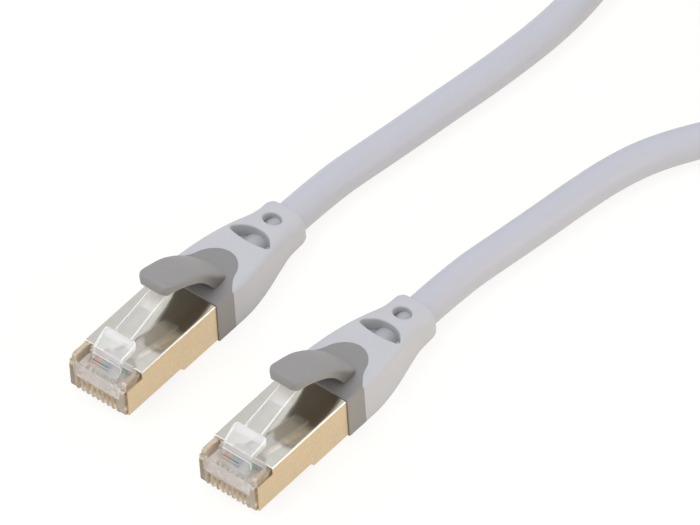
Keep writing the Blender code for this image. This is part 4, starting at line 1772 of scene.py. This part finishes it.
    def outer_mesh(self) -> Mesh:
        """Light sleeve behind the dark one, with two windows on the cable.

        Returns:
            The mesh.
        """
        radius, start, end = self.core
        centre, along, across = self.round_window
        unit = circle((0.0, 0.0), 1.0, self.round_sides)
        ring = [(centre + along * a, across * b) for a, b in unit]
        gap = self.bore_gap
        made = cut(
            self.form(),
            self.before_line(self.seam),
            self.field_prism(self.seam),
            self.bore(start, end + gap, radius + gap),
            self.cable_mesh(end - 1, END_LENGTH + 2, self.cable_gap),
            self.flared(self.lens_outline()),
            self.flared(ring),
        )
        along, half, depth = self.windows

        def walled(face: bpy.types.MeshPolygon) -> Finish:
            """The finish of a face, which is darker on the walls of the windows, painted shade.

            Args:
                face: The face.

            Returns:
                Its finish.
            """
            x, y, z = face.center / MM
            wall = Zone(along, (-FAR, half), (self.window_floor, self.top_at(x, y) - depth))
            return WINDOW_WALL_SHADE if wall.holds(x, y, z) else LIGHT

        return with_finishes(made, walled)


@dataclass
class Guard:
    """Arched tongue over the lever; its foot flows out of the top of the boot."""

    # top x, top z, underside x, underside z, half width, spread of the foot
    stations: Rows = (
        (13.62, 15.75, 13.80, 14.66, 2.10, 0.0),
        (14.05, 16.40, 14.20, 14.36, 2.56, 0.0),
        (14.75, 16.52, 14.75, 14.38, 2.95, 0.0),
        (15.60, 16.25, 15.50, 14.46, 3.15, 0.0),
        (17.60, 15.50, 17.00, 14.14, 3.32, 0.0),
        (20.10, 14.62, 19.20, 13.15, 3.44, 0.0),
        (21.60, 13.88, 20.60, 12.34, 3.48, 0.0),
        (23.10, 12.90, 21.80, 11.35, 3.50, 0.0),
        (24.45, 11.85, 22.75, 10.22, 3.50, 0.04),
        (25.50, 10.92, 23.45, 9.23, 3.50, 0.08),
        (26.45, 9.98, 23.95, 8.40, 3.48, 0.12),
        (27.30, 9.05, 24.60, 7.70, 3.40, 0.10),
        (28.10, 8.15, 25.90, 7.45, 3.20, 0.06),
        (28.90, 7.35, 27.80, 7.05, 2.70, 0.0),
    )
    crown: float = 0.32
    upper_corner: float = 0.36
    root_corner: float = 1.1
    soft: Point2 = (18.0, 25.0)  # where the upper corner grows to the root's
    upper_share: float = 0.42  # most that a corner takes of the thickness
    lower_corner: float = 0.16
    lower_share: float = 0.25
    side_end: float = 78.0
    side_steps: int = 6
    corner_steps: int = 4
    top_steps: int = 12
    cuts: int = 4
    # the round front edge: how far it stands out and how much smaller it ends
    nose: Point2 = (0.16, 0.2)
    nose_turns: Point3 = (75.0, 50.0, 25.0)  # degrees at its rings

    def ring(self, row: Sequence[float]) -> list[Vector]:
        """One section across the tongue, from its lower right corner round over the top.

        Args:
            row: A row like those of the stations.

        Returns:
            Its points.
        """
        top_x, top_z, low_x, low_z, half, spread = row
        top, low = Vector((top_x, 0.0, top_z)), Vector((low_x, 0.0, low_z))
        thickness = (top - low).length
        rise = (top - low).normalized()
        start, end = self.soft
        growth = (self.root_corner - self.upper_corner) * eased((top_x - start) / (end - start))
        upper = min(self.upper_corner + growth, thickness * self.upper_share)
        lower = min(self.lower_corner, thickness * self.lower_share)
        side_top = thickness - self.crown
        right = [
            *arc((half - lower, lower), lower, -90, 0, self.corner_steps),
            *arc((half - upper, side_top - upper), upper, 0, self.side_end, self.side_steps),
        ]
        edge_y, edge_z = right[-1]
        for i in range(1, self.top_steps + 1):
            y = edge_y * (1 - i / self.top_steps)
            right.append((y, thickness - (thickness - edge_z) * (y / edge_y) ** 2))
        section = [*right, *[(-y, z) for y, z in reversed(right[:-1])]]
        section += [(y, 0.0) for y in (-half / 2, 0.0, half / 2)]
        points = []
        for y, z in section:
            flare = spread * (1 - min(1.0, z / thickness)) ** 2
            p = low + rise * z
            points.append(Vector((p.x, y + math.copysign(flare, y) if y else y, p.z)))
        return points

    def mesh(self) -> Mesh:
        """The tongue, with a round front edge.

        Returns:
            The mesh.
        """
        rows = [self.stations[0], *self.stations, self.stations[-1]]
        shares = [i / self.cuts for i in range(self.cuts)]
        rings = [
            self.ring([on_curve(values, share) for values in zip(*four)])
            for four in zip(rows, rows[1:], rows[2:], rows[3:])
            for share in shares
        ]
        rings.append(self.ring(rows[-1]))
        first, second = rings[:2]
        middle = sum(first, Vector()) / len(first)
        ahead = (middle - sum(second, Vector()) / len(first)).normalized()
        stand_out, shrink = self.nose
        caps = []
        for turn in map(math.radians, self.nose_turns):
            factor = 1 - shrink * (1 - math.cos(turn))
            out = ahead * stand_out * math.sin(turn)
            caps.append([middle + (p - middle) * factor + out for p in first])
        return loft([*caps, *rings])


# ---- loose cable
@dataclass
class Cable:
    """The cable from boot to boot, with the length that isn't seen in a tied coil."""

    gap: float = 0.3
    # the route of lead a; lead b starts the same, one end's pitch aside
    seen: Route = (
        (45.6, 0.0, 3.25), (50.0, 0.0, 3.1), (54.0, -0.05, 2.92), (57.5, -0.25, 2.85),
        (61.5, -0.8, 2.85), (67.5, -1.72, 2.85), (73.7, -2.6, 2.85), (79.9, -3.45, 2.85),
    )  # fmt: skip
    far_a: Route = (
        (86.5, -4.4, 2.85), (93.5, -5.2, 2.85), (100.5, -5.7, 2.85), (107.8, -5.6, 2.85),
        (115.6, -4.6, 2.85), (124.0, -2.5, 2.85), (132.7, 0.3, 2.85), (142.0, 2.4, 2.85),
    )  # fmt: skip
    far_b: Route = (
        (83.4, -33.4, 2.85), (89.8, -35.4, 2.85), (96.0, -38.7, 2.85), (102.2, -43.1, 2.85),
        (108.4, -48.1, 2.95), (114.6, -53.1, 3.6), (121.3, -58.0, 5.1), (128.5, -62.3, 7.2),
        (136.0, -65.8, 8.65), (143.4, -67.6, 9.0),
    )  # fmt: skip
    coil_centre: Point2 = (155.0, -32.5)
    coil_inner: float = 26.2
    climb_dip: float = 1.0
    turn_pitch: float = 6.2
    turns_a_layer: float = 1.5
    climb_turns: float = 0.5
    tie_lift: float = 1.1
    tie_angle: float = math.radians(40.0)
    points_a_turn: int = 120
    step: float = 1.6
    round_steps: int = 10

    def coil(self) -> list[Vector]:
        """Middle line of the coil: in on the floor, a climb, and out on top.

        Returns:
            Its points.
        """
        outer = self.coil_inner + self.turn_pitch * self.turns_a_layer
        middle_x, middle_y = self.coil_centre
        start_x = middle_x - 2 * CABLE_RADIUS
        turns = 2 * self.turns_a_layer + self.climb_turns
        points = [(start_x, middle_y + outer, CABLE_RADIUS)]
        for i in range(round(turns * self.points_a_turn) + 1):
            turn = i / self.points_a_turn
            climbed = turn - self.turns_a_layer
            out = max(-climbed, climbed - self.climb_turns, 0.0)
            climb = min(1.0, max(0.0, climbed / self.climb_turns))
            dip = self.climb_dip * math.sin(math.pi * climb)
            radius = self.coil_inner + self.turn_pitch * out - dip
            angle = math.pi / 2 - FULL_TURN * turn
            aside = abs(math.remainder(angle, FULL_TURN))
            lift = self.tie_lift * (1 - eased(aside / self.tie_angle))
            height = CABLE_RADIUS + self.turn_pitch * eased(climb) + lift
            x, y = middle_x + radius * math.cos(angle), middle_y + radius * math.sin(angle)
            points.append((x, y, height))
        points.append((start_x, middle_y - outer, CABLE_RADIUS + self.turn_pitch))
        return [Vector(p) for p in points]

    def line(self) -> list[Vector]:
        """The whole middle line, from boot a to boot b.

        Returns:
            Its points.
        """
        coil = self.coil()
        gap = Vector((self.gap, 0.0, 0.0))
        entry, leave = coil[0] - gap, coil[-1] - gap
        seen_b = [(x - END_STAGGER, y - END_PITCH, z) for x, y, z in self.seen]
        lead_a = smooth_line([*self.seen, *self.far_a, entry], self.step)
        lead_b = smooth_line([*seen_b, *self.far_b, leave], self.step)
        return [lead_a[0] - gap, *lead_a, *coil, *reversed(lead_b), lead_b[0] - gap]

    def build(self, bench: Bench, tie: bpy.types.Object) -> None:
        """Args:
            bench: Where pieces are added.
            tie: The strap round its coil; not used.
        """
        shift = Vector((*END_A, 0.0))
        line = [p + shift for p in self.line()]
        length = sum((a - b).length for a, b in zip(line, line[1:]))
        piece = bench.add(
            "cable",
            line_curve(line, CABLE_RADIUS, self.round_steps),
            JACKET,
            Body.FIXED.of("a"),
            ("cable_lead_a", "cable_coil", "cable_lead_b"),
        )
        tuple(line[0] * MM)
        LOG.info("the cable is %.1f mm long from boot to boot", length)


@dataclass
class Tie:
    """Strap round the turns at the coil's far side."""

    thickness: float = 0.8
    width: float = 8.0
    near: float = 24.0
    far: float = 37.1
    corner: float = 1.6
    edge: float = 0.12
    slack: float = 0.3
    corner_steps: int = 8

    def mesh(self, cable: Cable) -> Mesh:
        """The strap as a closed band with rounded edges.

        Args:
            cable: The cable that it holds.

        Returns:
            The mesh.
        """
        middle = (self.near + self.far) / 2 + cable.coil_centre[0]
        half = (self.far - self.near) / 2
        top = cable.tie_lift + cable.turn_pitch + 2 * CABLE_RADIUS + self.slack
        centre_y = cable.coil_centre[1]
        edge, out, side = self.edge, self.thickness, self.width / 2
        rows = (
            (-side, edge), (-side, out - edge), (-side + edge, out), (side - edge, out),
            (side, out - edge), (side, edge), (side - edge, 0.0), (-side + edge, 0.0),
        )  # fmt: skip
        rings = []
        for across, grow in rows:
            corner = self.corner + grow
            ring = rounded(half + grow, out - grow, top + grow, corner, corner, self.corner_steps)
            rings.append([(x + middle, centre_y + across, z) for x, z in ring])
        return loft(rings, closed=True)


# ---- studio
@dataclass
class Studio:
    """Pale floor, soft light and the camera."""

    right: Point3 = (0.64321, -0.76392, -0.05195)
    down: Point3 = (-0.58088, -0.44263, -0.68312)
    place: Point3 = (-1.363395, -1.30426, 2.02818)
    focal_length: float = 925.71
    sensor_width: float = 36.0
    clip: Point2 = (0.05, 100.0)
    floor_colour: Colour = (0.95, 0.88, 0.76)
    floor_half: float = 3.0
    floor_drop: float = 0.02
    backdrop_level: float = 1.06
    backdrop_share: float = 0.8
    sky_level: float = 0.72
    # name, place, size, power, colour
    lamps: tuple[tuple[str, Point3, float, float, Colour], ...] = (
        ("top_light", (-0.25, 0.35, 0.95), 0.7, 3.4, (0.97, 0.985, 1.0)),
        ("side_light", (0.25, -0.95, 0.3), 0.5, 2.2, (1.0, 0.86, 0.66)),
    )

    def camera(self) -> None:
        """A long lens at the photograph's angle."""
        right, down = Vector(self.right), Vector(self.down)
        forward = right.cross(down)
        data = bpy.data.cameras.new("camera")
        data.lens = self.focal_length
        data.sensor_width = self.sensor_width
        data.clip_start, data.clip_end = self.clip
        camera = linked("camera", data)
        turned = Matrix((right, -down, -forward)).transposed().to_4x4()
        camera.matrix_world = Matrix.Translation(self.place) @ turned
        bpy.context.scene.camera = camera

    def floor(self) -> None:
        """A wide pale plane under the object."""
        size = self.floor_half
        corners = [(-size, -size, 0.0), (size, -size, 0.0), (size, size, 0.0), (-size, size, 0.0)]
        mesh = bpy.data.meshes.new("floor")
        mesh.from_pydata(corners, [], [(0, 1, 2, 3)])
        floor = linked("floor", mesh)
        floor.location = (0.0, 0.0, -self.floor_drop * MM)
        made = bpy.data.materials.new("finish_floor")
        made.use_nodes = True
        nodes = Nodes(made.node_tree)
        paper = nodes.make("BsdfDiffuse", {0: (*self.floor_colour, 1.0)})[0]
        light = {0: (*BRIGHT, 1.0), 1: self.backdrop_level}
        white = nodes.make("Emission", light)[0]
        values = {0: nodes.direct_views() * self.backdrop_share, 1: paper, 2: white}
        shown = nodes.make("MixShader", values)[0]
        nodes.make("OutputMaterial", {"Surface": shown})
        mesh.materials.append(made)

    def sky(self) -> None:
        """A white surround that lights the object evenly."""
        world = bpy.data.worlds.new("studio")
        world.use_nodes = True
        bpy.context.scene.world = world
        nodes = Nodes(world.node_tree)
        level = self.sky_level + (1.0 - self.sky_level) * nodes.direct_views()
        values = {"Color": (*BRIGHT, 1.0), "Strength": level}
        light = nodes.make("Background", values)[0]
        nodes.make("OutputWorld", {"Surface": light})

    def lamp(self, name: str, place: Point3, size: float, power: float, colour: Colour) -> None:
        """One soft lamp that points at the plugs.

        Args:
            name: Its name.
            place: Where it hangs, in metres.
            size: How wide it is, in metres.
            power: Its power in watts.
            colour: Its colour.
        """
        data = bpy.data.lights.new(name, "AREA")
        data.shape = "DISK"
        data.size = size
        data.energy = power
        data.color = colour
        lamp = linked(name, data)
        lamp.location = place
        lamp.rotation_euler = (-Vector(place)).to_track_quat("-Z", "Y").to_euler()

    def build(self) -> None:
        """Everything round the object."""
        bpy.context.scene.view_settings.view_transform = "Standard"
        self.camera()
        self.floor()
        self.sky()
        for lamp in self.lamps:
            self.lamp(*lamp)


# ---- one end
@dataclass
class PlugEnds:
    """Both plug ends, whose pieces share their meshes."""

    bench: Bench
    nodes: dict[str, bpy.types.Object]
    housing: Housing = field(default_factory=Housing)
    latch: Latch = field(default_factory=Latch)
    shell: ScreenShell = field(default_factory=ScreenShell)
    contacts: Contacts = field(default_factory=Contacts)
    wiring: Wiring = field(default_factory=Wiring)
    boots: Boots = field(default_factory=Boots)
    guard: Guard = field(default_factory=Guard)
    tail_start: float = 17.6

    def build(self) -> None:
        """Adds the pieces of both ends."""
        tail = self.boots.cable_mesh(self.tail_start, END_LENGTH)
        meshes = (
            ("housing", self.housing.mesh(), CLEAR, Body.FIXED, "plug_housing"),
            ("latch_moulding", self.latch.mesh(), LATCH_CLEAR, Body.LATCH, "latch"),
            ("screen", self.shell.mesh(), SHELL, Body.FIXED, "shield_shell"),
            ("collar", self.boots.inner_mesh(), DARK, Body.FIXED, "inner_boot"),
            ("sleeve", self.boots.outer_mesh(), LIGHT, Body.FIXED, "outer_boot"),
            ("tail", tail, JACKET_IN_PAINTED_SHADE, Body.FIXED, "jacket_tail"),
            ("tongue", self.guard.mesh(), GUARD, Body.GUARD, "latch_guard"),
        )
        blade = self.contacts.mesh()
        for letter, place in PLACES.items():
            for name, mesh, finish, body, node in meshes:
                replaced = (f"{node}_{letter}",)
                self.bench.add(f"{name}_{letter}", mesh, finish, body.of(letter), replaced, place)
            fixed = Body.FIXED.of(letter)
            for i, y in enumerate(way_places()):
                end = f"{i + 1}_{letter}"
                aside = (place[0], place[1] + y)
                self.bench.add(f"blade_{end}", blade, GOLD, fixed, (f"contact_{end}",), aside)
                wire = self.wiring.curve(i)
                self.bench.add(f"wire_{end}", wire, WIRES[i], fixed, (f"conductor_{end}",), place)
            dress_node(self.nodes[f"wire_comb_{letter}"], COMB)
            dress_node(self.nodes[f"screen_sleeve_{letter}"], BRAID)
            dress_node(self.nodes[f"crimp_ferrule_{letter}"], FERRULE)


def main() -> None:
    """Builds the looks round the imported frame."""
    logging.basicConfig(level=logging.INFO, format="%(message)s")
    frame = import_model()
    Studio().build()
    bench = Bench()
    cable = Cable()
    fixed = Body.FIXED.of("a")
    tie = bench.add("coil_strap", Tie().mesh(cable), STRAP, fixed, ("coil_tie",), END_A)
    cable.build(bench, tie)
    PlugEnds(bench, frame["nodes"]).build()
    LOG.info("%d pieces were made", len(bench.made))


if __name__ == "__main__":
    main()
